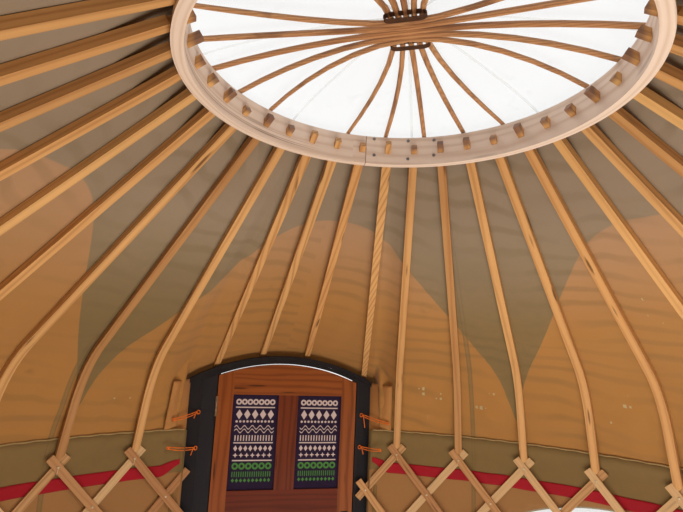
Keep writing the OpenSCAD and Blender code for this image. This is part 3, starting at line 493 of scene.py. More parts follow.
# %% Rows of printed marks
LEAF_X = -0.030
PANEL_EDGES = (0.0525, 0.293)
PRINT_MARGIN = 0.017
OFF_WHITE, LEAF_GREEN = tone(206, 190, 186), tone(72, 132, 62)
ROWS = [
    ("ring", 1.452, 0.030, 7, OFF_WHITE), ("line", 1.424, 0.006, 1, OFF_WHITE),
    ("lozenge", 1.388, 0.050, 5, OFF_WHITE), ("dot", 1.352, 0.012, 11, OFF_WHITE),
    ("wave", 1.322, 0.030, 5, OFF_WHITE), ("wave", 1.304, 0.030, 5, OFF_WHITE),
    ("bar", 1.268, 0.028, 14, OFF_WHITE), ("line", 1.244, 0.006, 1, OFF_WHITE),
    ("lozenge", 1.216, 0.030, 8, OFF_WHITE), ("cross", 1.182, 0.026, 7, OFF_WHITE),
    ("line", 1.156, 0.006, 1, OFF_WHITE), ("ring", 1.128, 0.034, 6, LEAF_GREEN),
    ("bar", 1.088, 0.026, 18, LEAF_GREEN), ("lozenge", 1.058, 0.020, 10, LEAF_GREEN),
]


def mark(finish, kind, u, v, cell, high):
    """Mask of one shape; u and v are metres from the middle of its cell."""
    edge = 0.0009
    side, rise = finish.math("ABSOLUTE", u), finish.math("ABSOLUTE", v)
    if kind in ("ring", "dot"):
        far = finish.math("SQRT", u * u + v * v)
        if kind == "ring":
            far = finish.math("ABSOLUTE", far - high * 0.36) + high * 0.36
        size = high * 0.5
    elif kind == "lozenge":
        far, size = side * (high / cell * 1.25) + rise, high * 0.5
    elif kind == "wave":
        sway = finish.math("SINE", u * (FULL_TURN / cell)) * (high * 0.3)
        far, size = finish.math("ABSOLUTE", v - sway), 0.0026
    elif kind == "bar":
        far, size = finish.math("MAXIMUM", side - cell * 0.2 + high * 0.5, rise), high * 0.5
    elif kind == "cross":
        far, size = finish.math("MINIMUM", side, rise) * 2.4 + finish.math("MAXIMUM", side, rise), high * 0.5
    else:
        far, size = rise, high * 0.5
    return 1.0 - finish.step(far, size - edge, size + edge)


def panel_print():
    finish = Finish("panel_print")
    _, x, y, z = finish.position()
    x = x - LEAF_X
    left, right_edge = PANEL_EDGES
    width = right_edge - left - 2 * PRINT_MARGIN
    inside = finish.math("ABSOLUTE", x) - (left + right_edge) / 2
    threads = finish.noise(finish.vector(x * 900.0, y * 900.0, z * 900.0), 1.0)
    cloud = finish.noise(finish.vector(x * 7.0, y * 7.0, z * 7.0), 1.0, 3.0)
    colour = finish.blend(tone(26, 16, 42), tone(36, 26, 58), cloud * 0.8)
    rough_edge = (cloud - 0.5) * 0.0016
    for kind, at, high, count, ink in ROWS:
        cell = width / count
        spot = finish.math("WRAP", inside + width / 2, cell, 0.0) - cell / 2
        if kind == "line":
            spot = inside
        shape = mark(finish, kind, spot, z - at + rough_edge, cell, high)
        kept = 1.0 - finish.step(finish.math("ABSOLUTE", inside), width / 2 - 0.001, width / 2)
        off = finish.math("ABSOLUTE", z - at)
        band = 1.0 - finish.step(off, high * 0.5 + 0.002, high * 0.5 + 0.003)
        colour = finish.blend(colour, ink, shape * kept * band * (0.86 + threads * 0.14))
    return finish.surface(colour, 0.62 + threads * 0.2, finish.bump(threads, 0.0003, 0.5))


paint(panel_print(), "leaf_upper_panels")

# %% [markdown]
# ## Metal fittings
#
# The hinges are bright zinc and the latch is dark iron. Both scatter light in fine scratches,
# so their roughness varies more than their colour.

# %% Finish of the metals
def metal(name, colour, rough, scratch, metallic=1.0):
    finish = Finish(name)
    _, x, y, z = finish.position()
    fine = finish.noise(finish.vector(x * 300.0, y * 300.0, z * 60.0), 1.0, 3.0)
    stain = finish.noise(finish.vector(x * 45.0, y * 45.0, z * 45.0), 1.0, 4.0)
    tint = finish.blend(colour, scaled(colour, 0.6), finish.step(stain, 0.45, 0.75))
    return finish.surface(tint, rough + fine * scratch + stain * 0.12,
        finish.bump(fine, 0.0002, 0.4), Metallic=metallic)


paint(metal("bright_zinc", tone(206, 208, 206), 0.24, 0.22), "hinge_frame_half", "hinge_leaf_half")
paint(metal("dark_iron", tone(46, 44, 44), 0.45, 0.2, metallic=0.6), "door_latch")

# %% [markdown]
# ## Cloth as two skins
#
# Canvas is thin, so from inside it is lit through and looks warm, and from outside it looks
# dull. A Solidify modifier would give it thickness, but then both sides share one finish.
# Here each sheet is built as an inner and an outer skin with a rim between them, from the
# same flat net of faces, so each side can have its own finish.

# %% Build a sheet from two skins
def add_piece(name, points, faces, finishes):
    """A smooth piece that rides on the frame."""
    mesh = bpy.data.meshes.new(name)
    mesh.from_pydata([tuple(p) for p in points], [], faces)
    mesh.update()
    piece = bpy.data.objects.new(name, mesh)
    bpy.context.scene.collection.objects.link(piece)
    for finish in finishes:
        mesh.materials.append(finish)
    mesh.polygons.foreach_set("use_smooth", [True] * len(mesh.polygons))
    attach(piece, "frame")
    return piece


def two_skins(name, inner, outer, faces, finishes):
    """inner and outer are lists of points; faces of the net look inwards."""
    count = len(inner)
    uses = {(a, b): True for face in faces for a, b in zip(face, face[1:] + face[:1])}
    rim = [(a, b) for a, b in uses if (b, a) not in uses]
    polygons = [tuple(face) for face in faces]
    polygons += [tuple(v + count for v in reversed(face)) for face in faces]
    polygons += [(b, a, a + count, b + count) for a, b in rim]
    piece = add_piece(name, inner + outer, polygons, finishes)
    sides = [0] * len(faces) + [min(1, len(finishes) - 1)] * (len(faces) + len(rim))
    piece.data.polygons.foreach_set("material_index", sides)
    return piece


def joined(parts):
    """Several parts, each with inner points, outer points and faces, as one."""
    inner, outer, faces = [], [], []
    for more_in, more_out, more_faces in parts:
        start = len(inner)
        inner += more_in
        outer += more_out
        faces += [[v + start for v in face] for face in more_faces]
    return inner, outer, faces


def round_point(angle, radius, z):
    """A place in the room from its angle in degrees, counted from the door."""
    turn = math.radians(angle)
    return radius * math.sin(turn), -radius * math.cos(turn), z


def flipped(faces):
    """The same faces, seen from their other side."""
    return [face[::-1] for face in faces]


def net(rows, columns, closed=False):
    """Faces of a grid with rows going round and columns going outwards."""
    last = rows if closed else rows - 1
    return [[i * columns + j, i * columns + j + 1,
        ((i + 1) % rows) * columns + j + 1, ((i + 1) % rows) * columns + j]
        for i in range(last) for j in range(columns - 1)]


# %% [markdown]
# ## Slow chance
#
# Creases need a smooth random value over the cloth. A small table of seeded numbers, blended
# between its cells, is enough and gives the same cloth on every run.

# %% A smooth random value from a seeded table
_table = np.random.default_rng(36).random((64, 64)) * 2 - 1


def slow_chance(x, y, seed=0):
    """Smooth values from -1 to 1; x and y are counted in cells."""
    x, y = x + seed * 7.13, y + seed * 3.71
    i, j = math.floor(x), math.floor(y)
    u, v = x - i, y - j
    u, v = u * u * (3 - 2 * u), v * v * (3 - 2 * v)
    near = _table[i % 64, j % 64] * (1 - u) + _table[(i + 1) % 64, j % 64] * u
    far = _table[i % 64, (j + 1) % 64] * (1 - u) + _table[(i + 1) % 64, (j + 1) % 64] * u
    return float(near * (1 - v) + far * v)


def ease(value, low, high):
    """0 below low, 1 above high, smooth between."""
    t = min(max((value - low) / (high - low), 0.0), 1.0)
    return t * t * (3 - 2 * t)


# %% [markdown]
# ## The line of the roof
#
# The roof cloth follows the ribs: straight from the hoop, round the bend, steeply down to the
# wall and then as a short upright skirt. Near the door it lifts to pass over the frame's cap.
# These few functions give that line at any angle, in metres, like those the solids were
# drawn with.

# %% Profile of the roof round the room
HOOP_OUT, HOOP_TOP = 0.491, 2.433
WALL_D, ROOF_D, CANVAS_T = 0.0210, 0.0295, 0.003
VALANCE_R, VALANCE_Z = 1.8474, 1.112
DOOR_IN, DOOR_ON = 1.797, 0.040
CAP_OVER, CAP_IN = 0.022, 0.010
ARCH_Z, CAP_TOP_R, TOTAL_R = 0.675, 1.0203, 1.8615
LIFT_Z, COLLAR_R = 0.008 + 0.010 + 0.013, HOOP_OUT + 0.0005
UPPER_STEPS, BEND_STEPS, LOWER_STEPS, SKIRT_STEPS = 26, 12, 18, 6
FRONT_A = FIRST_HEAD
CAP_A = math.degrees(math.atan((FRAME_HALF + CAP_OVER + 0.0003) / (DOOR_IN - CAP_IN)))


def from_door(a):
    """The angle a as -180 to 180 degrees from the door."""
    return (a + 180) % 360 - 180


def upper_z(r, d):
    return PEG_Z + (d - (r - HOOP_R) * math.sin(SLOPE_UP)) / math.cos(SLOPE_UP)


def lower_z(r, d):
    return CROTCH_Z + (d - (r - WALL_R) * math.sin(SLOPE_DOWN)) / math.cos(SLOPE_DOWN)


def lower_r(z, d):
    return WALL_R + (d - (z - CROTCH_Z) * math.cos(SLOPE_DOWN)) / math.sin(SLOPE_DOWN)


def bend_point(d, share):
    lean = SLOPE_UP + (SLOPE_DOWN - SLOPE_UP) * share
    return BEND_X + (BEND_R + d) * math.sin(lean), BEND_Z + (BEND_R + d) * math.cos(lean)


def plain_z(r, d):
    first, last = bend_point(d, 0)[0], bend_point(d, 1)[0]
    if r < first:
        return upper_z(r, d)
    if r < last:
        return BEND_Z + math.sqrt((BEND_R + d) ** 2 - (r - BEND_X) ** 2)
    return lower_z(r, d)


def cap_z(x):
    return ARCH_Z + math.sqrt(CAP_TOP_R ** 2 - min(abs(x), FRAME_HALF + CAP_OVER) ** 2)


def lift(a):
    return ease((FRONT_A - abs(a)) / (FRONT_A - CAP_A), 0, 1)


def roof_z(a, r, d):
    plain = plain_z(r, d)
    if abs(a) >= FRONT_A:
        return plain
    edge = (DOOR_IN + DOOR_ON) / math.cos(math.radians(a))
    top = upper_z(COLLAR_R, d)
    low = cap_z(edge * math.sin(math.radians(a))) + LIFT_Z + d - ROOF_D
    over_door = top + (low - top) * (r - COLLAR_R) / (edge - COLLAR_R)
    return plain + (over_door - plain) * lift(a)


def roof_line(a, d):
    """Points (radius, height) of the roof cloth at angle a, the same number at each angle."""
    wrapped = from_door(a)
    collar = COLLAR_R + d - ROOF_D
    bends = [bend_point(d, s / BEND_STEPS)[0] for s in range(BEND_STEPS + 1)]
    radii = list(np.linspace(collar, bends[0], UPPER_STEPS + 1)[:-1]) + bends
    points = [(collar, HOOP_TOP - 0.002)] + [(q, roof_z(wrapped, q, d)) for q in radii]
    eaves, end = (VALANCE_R, lower_z(VALANCE_R, d)), (VALANCE_R, VALANCE_Z)
    drop = ease(CAP_A + 1 - abs(wrapped), 0, 1)
    if drop:
        out = (DOOR_IN + DOOR_ON) / math.cos(math.radians(wrapped))
        rim = (TOTAL_R - 0.0003) / math.cos(math.radians(wrapped))
        out_z = cap_z(out * math.sin(math.radians(wrapped))) + LIFT_Z + d - ROOF_D
        rim_z = cap_z(rim * math.sin(math.radians(wrapped))) + 0.002 + d - ROOF_D
        eaves = (eaves[0] + (out - eaves[0]) * drop, eaves[1] + (out_z - eaves[1]) * drop)
        end = (end[0] + (rim - end[0]) * drop, end[1] + (rim_z - end[1]) * drop)
    for start, stop, steps in ((points[-1], eaves, LOWER_STEPS), (eaves, end, SKIRT_STEPS)):
        points += [(start[0] + (stop[0] - start[0]) * s, start[1] + (stop[1] - start[1]) * s)
            for s in np.linspace(0, 1, steps + 1)[1:]]
    return points


def way_down(line):
    """The length of a line from its start to each of its points."""
    return np.concatenate([[0], np.cumsum([math.dist(p, q) for p, q in zip(line, line[1:])])])


print("points down the roof:", len(roof_line(60, ROOF_D)), "and", len(roof_line(3, ROOF_D)))

# %% [markdown]
# ## How the cloth hangs
#
# Between two ribs the cloth is pulled straight, so it lies a little nearer the room than over
# a rib. Slow ripples cross the upper roof, pulled by the seams. Lower down, slack gathers in
# folds that hang from the bend, and by the door they run slanting to the post. All of it is a
# small offset along the cloth's own outward direction.

# %% Offset of the roof cloth from its line
def rib_share(a, r):
    """How far a point lies from the nearest rib, 0 on it and 1 half way to the next."""
    count = rib_count(a % 360, r)
    return abs(count - round(count)) * 2


def hang(a, r, z, path):
    """Outward offset of the roof cloth in metres; path is the way down from the collar."""
    wrapped = from_door(a)
    side = abs(wrapped)
    arc = math.radians(a) * r
    between = rib_share(a, r) if side > FRONT_A - 2 else 0.6
    open_part = ease(z, 1.37, 1.50) * ease(r, 0.50, 0.62)
    beside_door = ease(40 - side, 0, 14) * ease(1.95 - z, 0.0, 0.30)
    rest = 0.0175 - 0.0115 * max(lift(wrapped), 0.75 * beside_door)
    sag = -(rest + r * (1 - math.cos(math.radians(5.1))) * (1 - (1 - between) ** 2)) * open_part
    cells = a / 360 * 64
    slow = slow_chance(cells * 0.5, path * 2.1, 1)
    wave = math.sin(path * 88 + slow_chance(cells * 1.0, path * 3.0, 2) * 4.5 + cells * 1.7)
    ripple = 0.0026 * wave * (0.5 + 0.5 * slow) * between ** 1.4 * open_part
    low = ease(1.72 - z, 0.0, 0.22) * ease(z, 1.30, 1.42)
    fold_at = arc * 9.0 + (z - 1.4) * 6.5 + slow_chance(cells * 2.0, path * 4.0, 3) * 3.0
    fold = 0.0075 * math.sin(fold_at) * low * between
    pull = ease(34 - side, 0, 12) * ease(side, 15, 22) * ease(1.90 - z, 0.0, 0.35)
    slant = math.sin((z - 1.1) * 46 + (side - 20) * 0.42 + slow * 2.0)
    door_fold = 0.0085 * slant * pull * ease(z, 1.30, 1.38) * (0.25 + 0.75 * between)
    front = ease(side, 3, 12) * (1 - ease(side, 15, 20))
    ray = math.sin(side * 1.15 + r * 9.0 + slow * 1.5)
    front_fold = 0.0035 * ray * front * ease(r, 1.15, 1.5) * (1 - ease(r, 1.68, 1.76))
    return sag + ripple + fold + door_fold + front_fold


def outward(line, j):
    (r0, z0), (r1, z1) = line[max(0, j - 1)], line[min(len(line) - 1, j + 1)]
    length = math.hypot(r1 - r0, z1 - z0)
    return -(z1 - z0) / length, (r1 - r0) / length


def roof_points(angles, d):
    """Points of one skin of the roof cloth, d outside the line that the ribs follow."""
    points = []
    for a in angles:
        line = roof_line(a, d)
        for j, ((r, z), path) in enumerate(zip(line, way_down(line))):
            nr, nz = outward(line, j)
            off = hang(a, r, z, path)
            points.append(round_point(a, r + nr * off, z + nz * off))
    return points


even = [i * 0.75 for i in range(480)]
close_by_door = [s * (14.6 + i * 0.2) % 360 for s in (1, -1) for i in range(38)]
roof_angles = sorted({round(a, 3) for a in even + close_by_door})
line_count = len(roof_line(60, ROOF_D))
mid_d = ROOF_D + CANVAS_T / 2
SKIN = 0.0005
roof_in = roof_points(roof_angles, mid_d - SKIN)
roof_out = roof_points(roof_angles, mid_d + SKIN)
print("roof cloth points:", len(roof_in))

# %% [markdown]
# ## Canvas seen from both sides
#
# Daylight comes through a single layer and turns it golden brown. Where the star of the crown
# cover lies over the roof, or the skirt over the wall, two layers stop more light and look
# olive. The star's outline is a short sum of the angle, the same one its solid was cut with.
# The difference could be left to light passing through real layers, but thin cloth lit from
# behind is slow and grainy to render, and no viewer of the exported part would show it.

# %% Finish of the inner side of the roof
POINTS, HOLLOW_A, HOLLOW_R, POINT_R, POINT_BEND = 5, -3.6, 0.812, 1.765, 2.6
STAR_TURN = 360 / POINTS
SEAM_ANGLES, SEAM_HALF = (34.4, 104.0, 180.0, 256.0, 327.4), 0.012
STITCH, STITCH_GAP = 0.007, 0.0022


def weave(finish, across, along):
    """Fine threads both ways, drawn as stretched noise so they never shimmer."""
    warp = finish.noise(finish.vector(across * 900.0, along * 90.0, 0.0), 1.0, 1.0)
    weft = finish.noise(finish.vector(across * 90.0, along * 900.0, 3.0), 1.0, 1.0)
    return warp * 0.5 + weft * 0.5


def star_line(finish, angle):
    """How far an angle lies from a hollow, 0 to 1 at a point, and the star's radius there."""
    away = finish.math("WRAP", angle - HOLLOW_A + STAR_TURN / 2, STAR_TURN, 0.0) - STAR_TURN / 2
    share = finish.math("ABSOLUTE", away) / (STAR_TURN / 2)
    return share, finish.math("POWER", share, POINT_BEND) * (POINT_R - HOLLOW_R) + HOLLOW_R


def star_mask(finish, angle, radius, z):
    edge = star_line(finish, angle)[1]
    return finish.step(edge - radius, -0.004, 0.004)


def seam_bands(finish, angle, radius, path, angles):
    """Mask of the doubled bands along the seams, and of the stitches in them."""
    band, rows = 0.0, 0.0
    for at in angles:
        away = finish.math("ABSOLUTE", angle - at) * radius * DEGREE
        band = band + (1.0 - finish.step(away, SEAM_HALF - 0.0012, SEAM_HALF + 0.0012))
        off = finish.math("ABSOLUTE", away - SEAM_HALF * 0.62)
        rows = rows + (1.0 - finish.step(off, 0.0006, 0.0016))
    return band, rows * finish.math("GREATER_THAN", finish.math("WRAP", path, STITCH, 0.0), STITCH_GAP)


def canvas_inside(name, single, double, shade_mask, wall=False):
    finish = Finish(name)
    angle, radius, z = round_room(finish)
    arc, path = angle * (DEGREE * ROOF_MEAN_R), (radius - z) * 0.74 if not wall else z
    threads = weave(finish, arc, path)
    spot = finish.position()[0]
    cloud = finish.noise(spot, 1.9, 3.0)
    speckle = finish.noise(spot, 26.0, 4.0)
    shade = shade_mask(finish, angle, radius, z)
    band, stitch = seam_bands(finish, angle, radius, path, SEAM_ANGLES)
    # The doubled seam bands are painted shade too: two layers let less daylight through
    shade = finish.math("MAXIMUM", shade, band * 0.62)
    colour = finish.blend(single, double, shade)
    colour = finish.blend(colour, scaled(double, 0.66), (1.0 - cloud) * 0.34)
    colour = finish.blend(colour, scaled(single, 1.30), speckle * cloud * 0.22)
    dirt = finish.step(finish.noise(spot, 7.0, 5.0), 0.66, 0.80)
    colour = finish.blend(colour, scaled(double, 0.42), dirt * 0.28)
    colour = finish.blend(colour, scaled(double, 0.55), stitch * 0.6)
    if not wall:
        # Near the crown the cloth is paled by painted light from the sky, and slanting creases cross it as
        # painted shade
        pale = (1.0 - finish.step(radius, 0.55, 1.40)) * (cloud * 0.5 + 0.5)
        colour = finish.blend(colour, tone(170, 160, 152), pale * 0.52)
        sway = finish.noise(finish.vector(arc * 2.0, path * 2.0, 5.0), 1.0, 2.0)
        crease = finish.math("SINE", arc * 9.0 + path * 62.0 + sway * 16.0)
        shown = finish.step(sway, 0.35, 0.65) * (1.0 - finish.step(path, 0.35, 0.75))
        colour = finish.blend(colour, scaled(double, 0.72), finish.step(crease, 0.0, 1.0) * shown * 0.28)
    height = threads * 0.5 + band * 0.5 - stitch * 0.6 + speckle * 0.4
    return finish.surface(colour, 0.86 + threads * 0.1, finish.bump(height, 0.0010, 0.6),
        Sheen_Weight=0.08, Sheen_Roughness=0.5)


GOLDEN, OLIVE = tone(172, 122, 64), tone(120, 103, 68)
roof_inside = canvas_inside("roof_canvas_inside", GOLDEN, OLIVE, star_mask)


# %% Finish of the outer side of all canvas
SAND, THREAD = tone(176, 160, 120), tone(226, 214, 186)


def canvas_outside(name, colour, seams=SEAM_ANGLES, wall=False, edge=None):
    finish = Finish(name)
    angle, radius, z = round_room(finish)
    arc, path = angle * (DEGREE * ROOF_MEAN_R), (radius - z) * 0.74 if not wall else z
    threads = weave(finish, arc, path)
    spot = finish.position()[0]
    cloud = finish.noise(spot, 2.3, 4.0)
    wash = finish.noise(finish.vector(arc * 9.0, path * 0.9, 0.0), 1.0, 3.0)
    tint = finish.blend(colour, scaled(colour, 0.72), finish.step(cloud, 0.35, 0.75) * 0.6)
    tint = finish.blend(tint, scaled(colour, 0.58), finish.step(wash, 0.55, 0.8) * 0.35)
    height = threads * 0.5
    if seams:
        band, stitch = seam_bands(finish, angle, radius, path, seams)
        tint = finish.blend(tint, scaled(colour, 0.85), band)
        tint = finish.blend(tint, THREAD, stitch * 0.7)
        height = height + band * 0.6 - stitch * 0.5
    if edge:
        inside_edge, edge_stitch = edge(finish, angle, radius, z)
        tint = finish.blend(tint, scaled(colour, 0.84), inside_edge)
        tint = finish.blend(tint, THREAD, edge_stitch * 0.7)
        height = height + inside_edge * 0.6
    return finish.surface(tint, 0.84 + threads * 0.1, finish.bump(height, 0.0010, 0.6),
        Sheen_Weight=0.06, Sheen_Roughness=0.5)


roof_outside = canvas_outside("roof_canvas_outside", SAND)

roof_cloth = two_skins("roof_canvas", roof_in, roof_out,
    net(len(roof_angles), line_count, closed=True), [roof_inside, roof_outside])
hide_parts("roof_canvas_front", "roof_canvas_left", "roof_canvas_back_left",
    "roof_canvas_back_right", "roof_canvas_right")

# %% [markdown]
# ## The star over the crown
#
# A five-pointed cover ties down over the top of the roof. It follows the roof cloth's own
# folds a few millimetres above them, because it lies on that cloth. Its net runs from the
# dome outwards to the star's edge at every angle, so the outline stays smooth.

# %% Build the crown cover
COVER_IN, COVER_STEPS = 0.499, 44


def cover_edge(a):
    away = abs((a - HOLLOW_A + STAR_TURN / 2) % STAR_TURN - STAR_TURN / 2)
    return HOLLOW_R + (POINT_R - HOLLOW_R) * (away / (STAR_TURN / 2)) ** POINT_BEND


def cover_points(d):
    points, ahead = [], 0.004
    for a in roof_angles:
        line = roof_line(a, d)[:UPPER_STEPS + BEND_STEPS + 2]
        radii, ways = np.array([p[0] for p in line]), way_down(line)
        wrapped = from_door(a)
        lifted = lift(wrapped)
        for s in np.linspace(0, 1, COVER_STEPS):
            r = COVER_IN + (cover_edge(a) - COVER_IN) * s
            z = roof_z(wrapped, r, d)
            rise = roof_z(wrapped, r + ahead, d) - z
            length = math.hypot(ahead, rise)
            off = hang(a, r, z, float(np.interp(r, radii, ways))) + 0.010 * lifted * (1 - lifted)
            points.append(round_point(a, r - rise / length * off, z + ahead / length * off))
    return points


def cover_hem(finish, angle, radius, z):
    share, edge = star_line(finish, angle)
    slope = finish.math("POWER", share, POINT_BEND - 1.0) \
        * ((POINT_R - HOLLOW_R) * POINT_BEND / math.radians(STAR_TURN / 2)) / radius
    near = (edge - radius) / finish.math("SQRT", slope * slope + 1.0)
    hem = 1.0 - finish.step(near, 0.024, 0.026)
    row = 1.0 - finish.step(finish.math("ABSOLUTE", near - 0.019), 0.0006, 0.0016)
    return hem, row


COVER_D = mid_d + 0.0034
cover_outside = canvas_outside("cover_outside", tone(150, 140, 102), (), edge=cover_hem)
star = two_skins("crown_cover_cloth", cover_points(COVER_D - SKIN), cover_points(COVER_D + SKIN),
    net(len(roof_angles), COVER_STEPS, closed=True), [roof_inside, cover_outside])
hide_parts("crown_cover")
print("star cover:", len(star.data.polygons), "faces")

# %% [markdown]
# ## The wall cloth and its windows
#
# The wall is one long cloth from post to post, cut out for four arched windows. It is drawn
# flat first, with the window outlines as fixed edges in a triangle net, and then rolled round
# the lattice. A boolean cut would leave long thin faces that crease badly.

# %% Draw a flat net with holes
WALL_IN, WALL_MID, WALL_OUT = 1.8426, 1.8441, 1.8456
FRAME_A = math.degrees(math.asin((FRAME_HALF + 0.0003) / WALL_IN))
HEM_Z, NET_SPACING, OUTLINE_STEPS = 1.318, 0.034, 330
WINDOW_ANGLES = (54.0, 126.0, 234.0, 306.0)
WINDOW_HALF, WINDOW_LOW, WINDOW_SPRING, WINDOW_TOP, CORNER = 0.560, 0.470, 0.930, 1.083, 0.060


def window_outline(grow=0.0):
    """Points of a window about x 0, going round once."""
    rise = WINDOW_TOP - WINDOW_SPRING
    r = (WINDOW_HALF ** 2 + rise ** 2) / (2 * rise)
    half = WINDOW_HALF + grow
    reach = math.asin(half / (r + grow))
    points = [((r + grow) * math.sin(t), WINDOW_TOP - r + (r + grow) * math.cos(t))
        for t in np.linspace(-reach, reach, 41)]
    small = CORNER + grow
    for side, start in ((1, 0), (-1, -90)):
        for t in np.radians(np.linspace(start, start - 90, 9)):
            points.append((side * (half - small) + small * math.cos(t),
                WINDOW_LOW + CORNER + small * math.sin(t)))
    return points


def flat_net(outline, holes, spacing):
    """Triangles inside outline and outside holes, as points and faces."""
    points, edges = [], []
    for ring in [outline] + holes:
        start = len(points)
        points += ring
        edges += [(start + i, start + (i + 1) % len(ring)) for i in range(len(ring))]
    low, high = np.min(outline, 0), np.max(outline, 0)
    rows = max(2, int((high[1] - low[1]) / spacing))
    columns = max(2, int((high[0] - low[0]) / spacing))

    def inside(x, y, ring):
        hit = False
        for (x0, y0), (x1, y1) in zip(ring, ring[1:] + ring[:1]):
            if (y0 > y) != (y1 > y) and x < (x1 - x0) * (y - y0) / (y1 - y0) + x0:
                hit = not hit
        return hit

    boxes = [(np.min(h, 0) - spacing * 0.4, np.max(h, 0) + spacing * 0.4) for h in holes]
    for j in range(1, rows):
        for i in range(columns + 1):
            x = low[0] + (high[0] - low[0]) * (i + (0.5 if j % 2 else 0.0)) / columns
            y = low[1] + (high[1] - low[1]) * j / rows
            if not inside(x, y, outline) or min(x - low[0], high[0] - x) < spacing * 0.4:
                continue
            if any(b[0][0] < x < b[1][0] and b[0][1] < y < b[1][1] and
                    (inside(x, y, h) or min(math.dist((x, y), p) for p in h) < spacing * 0.5)
                    for b, h in zip(boxes, holes)):
                continue
            points.append((float(x), float(y)))
    made = geometry.delaunay_2d_cdt([Vector(p) for p in points], edges, [], 0, 1e-6)
    flat, faces = made[0], made[2]
    kept = []
    for face in faces:
        x = sum(flat[v].x for v in face) / len(face)
        y = sum(flat[v].y for v in face) / len(face)
        if inside(x, y, outline) and not any(inside(x, y, h) for h in holes):
            area = sum(flat[a].x * flat[b].y - flat[b].x * flat[a].y
                for a, b in zip(face, list(face)[1:] + [face[0]]))
            kept.append(list(face) if area > 0 else list(reversed(face)))
    return [(p.x, p.y) for p in flat], kept


turn_to_metres = DEGREE * WALL_MID
round_wall = [a * turn_to_metres for a in np.linspace(FRAME_A, 360 - FRAME_A, OUTLINE_STEPS)]
back_round = [a * turn_to_metres for a in np.linspace(360 - FRAME_A, FRAME_A, OUTLINE_STEPS)]
outline = [(x, 0.0) for x in round_wall] + [(x, HEM_Z) for x in back_round]
holes = [[(x + a * turn_to_metres, y) for x, y in window_outline()] for a in WINDOW_ANGLES]
wall_flat, wall_faces = flat_net(outline, holes, NET_SPACING)
print("wall net:", len(wall_flat), "points,", len(wall_faces), "faces")


# %% Roll the wall round the lattice
def wall_radius(a, z, shift):
    """Radius of the wall cloth: it hangs in slow upright folds below the belt."""
    arc = math.radians(a) * WALL_MID
    if z > 1.25:
        return WALL_MID + shift if z < lower_z(WALL_MID, WALL_D + 0.0015) \
            else lower_r(z, WALL_D + 0.0015 + shift)
    near_window = min(abs(from_door(a - w)) for w in WINDOW_ANGLES)
    calm = ease(near_window, 18.5, 24.0) if 0.42 < z < 1.12 else 1.0
    free = ease(z, 0.0, 0.10) * ease(1.09 - z, 0.0, 0.12)
    fold = 0.5 + 0.5 * slow_chance(arc * 4.6 + z * 0.6, z * 1.1, 5)
    crease = 0.5 + 0.5 * math.sin(arc * 21 + slow_chance(arc * 2.0, z * 2.5, 6) * 6)
    return WALL_MID + shift + (0.0055 * fold + 0.0018 * crease) * free * calm


def roll(flat, shift, radius=wall_radius):
    points = []
    for x, z in flat:
        a = x / turn_to_metres
        points.append(round_point(a, radius(a, z, shift), z))
    return points


def wall_shade(finish, angle, radius, z):
    return finish.step(z, 1.108, 1.116)


wall_inside = canvas_inside("wall_canvas_inside", tone(160, 116, 72), tone(122, 102, 64),
    wall_shade, wall=True)
wall_outside = canvas_outside("wall_canvas_outside", SAND, (90.0, 180.0, 270.0), wall=True)
wall_cloth = two_skins("wall_canvas", roll(wall_flat, -SKIN), roll(wall_flat, SKIN),
    flipped(wall_faces), [wall_inside, wall_outside])
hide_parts("wall_canvas_left", "wall_canvas_back_left", "wall_canvas_back_right",
    "wall_canvas_right")

# %% [markdown]
# ## Clear sheet
#
# The windows and the dome are clear flexible sheet. Glass that bends light would turn the
# thin sheet into a lens, so the sheet is nearly see-through instead: a low alpha with a
# sharp shine, and smears and haze that raise the alpha a little.

# %% Finish of the clear sheet
def clear_sheet(name, seams=0):
    finish = Finish(name)
    angle, radius, z = round_room(finish)
    spot = finish.position()[0]
    haze = finish.noise(spot, 5.0, 3.0)
    smear = finish.step(finish.noise(spot, 22.0, 4.0), 0.55, 0.8)
    alpha = haze * 0.05 + smear * 0.04 + 0.05
    colour = finish.blend(tone(214, 234, 240), tone(240, 246, 248), haze)
    height = haze * 0.5
    if seams:
        away = finish.math("WRAP", angle, 360.0 / seams, 0.0) - 180.0 / seams
        across = finish.math("ABSOLUTE", away) * radius * DEGREE
        weld = 1.0 - finish.step(across, 0.0035, 0.0045)
        alpha = alpha + weld * 0.16
        height = height + weld * 0.5
    return finish.surface(colour, 0.10 + smear * 0.2, finish.bump(height, 0.0012, 0.5), Alpha=alpha)


GORES = 8
window_sheet = clear_sheet("clear_window_sheet")
dome_sheet = clear_sheet("clear_dome_sheet", seams=GORES)

# %% Build the windows and the hems round them
WINDOW_SHEET_R, WINDOW_LAP = 1.8466, 0.017


def window_radius(a, z, shift):
    arc = math.radians(a) * WALL_MID
    ripple = 0.0006 * math.sin(arc * 17 + z * 9) + 0.0004 * math.sin(z * 31 - arc * 5)
    return WINDOW_SHEET_R + shift + ripple


def window_at(a, grow):
    """The outline of the window at angle a, on the flat wall."""
    return [(x + a * turn_to_metres, y) for x, y in window_outline(grow)]


parts = []
for a in WINDOW_ANGLES:
    flat, faces = flat_net(window_at(a, WINDOW_LAP), [], NET_SPACING)
    skins = [roll(flat, shift, window_radius) for shift in (-0.0003, 0.0003)]
    parts.append((*skins, flipped(faces)))
panes = two_skins("window_sheets", *joined(parts), [window_sheet])
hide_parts("windows")


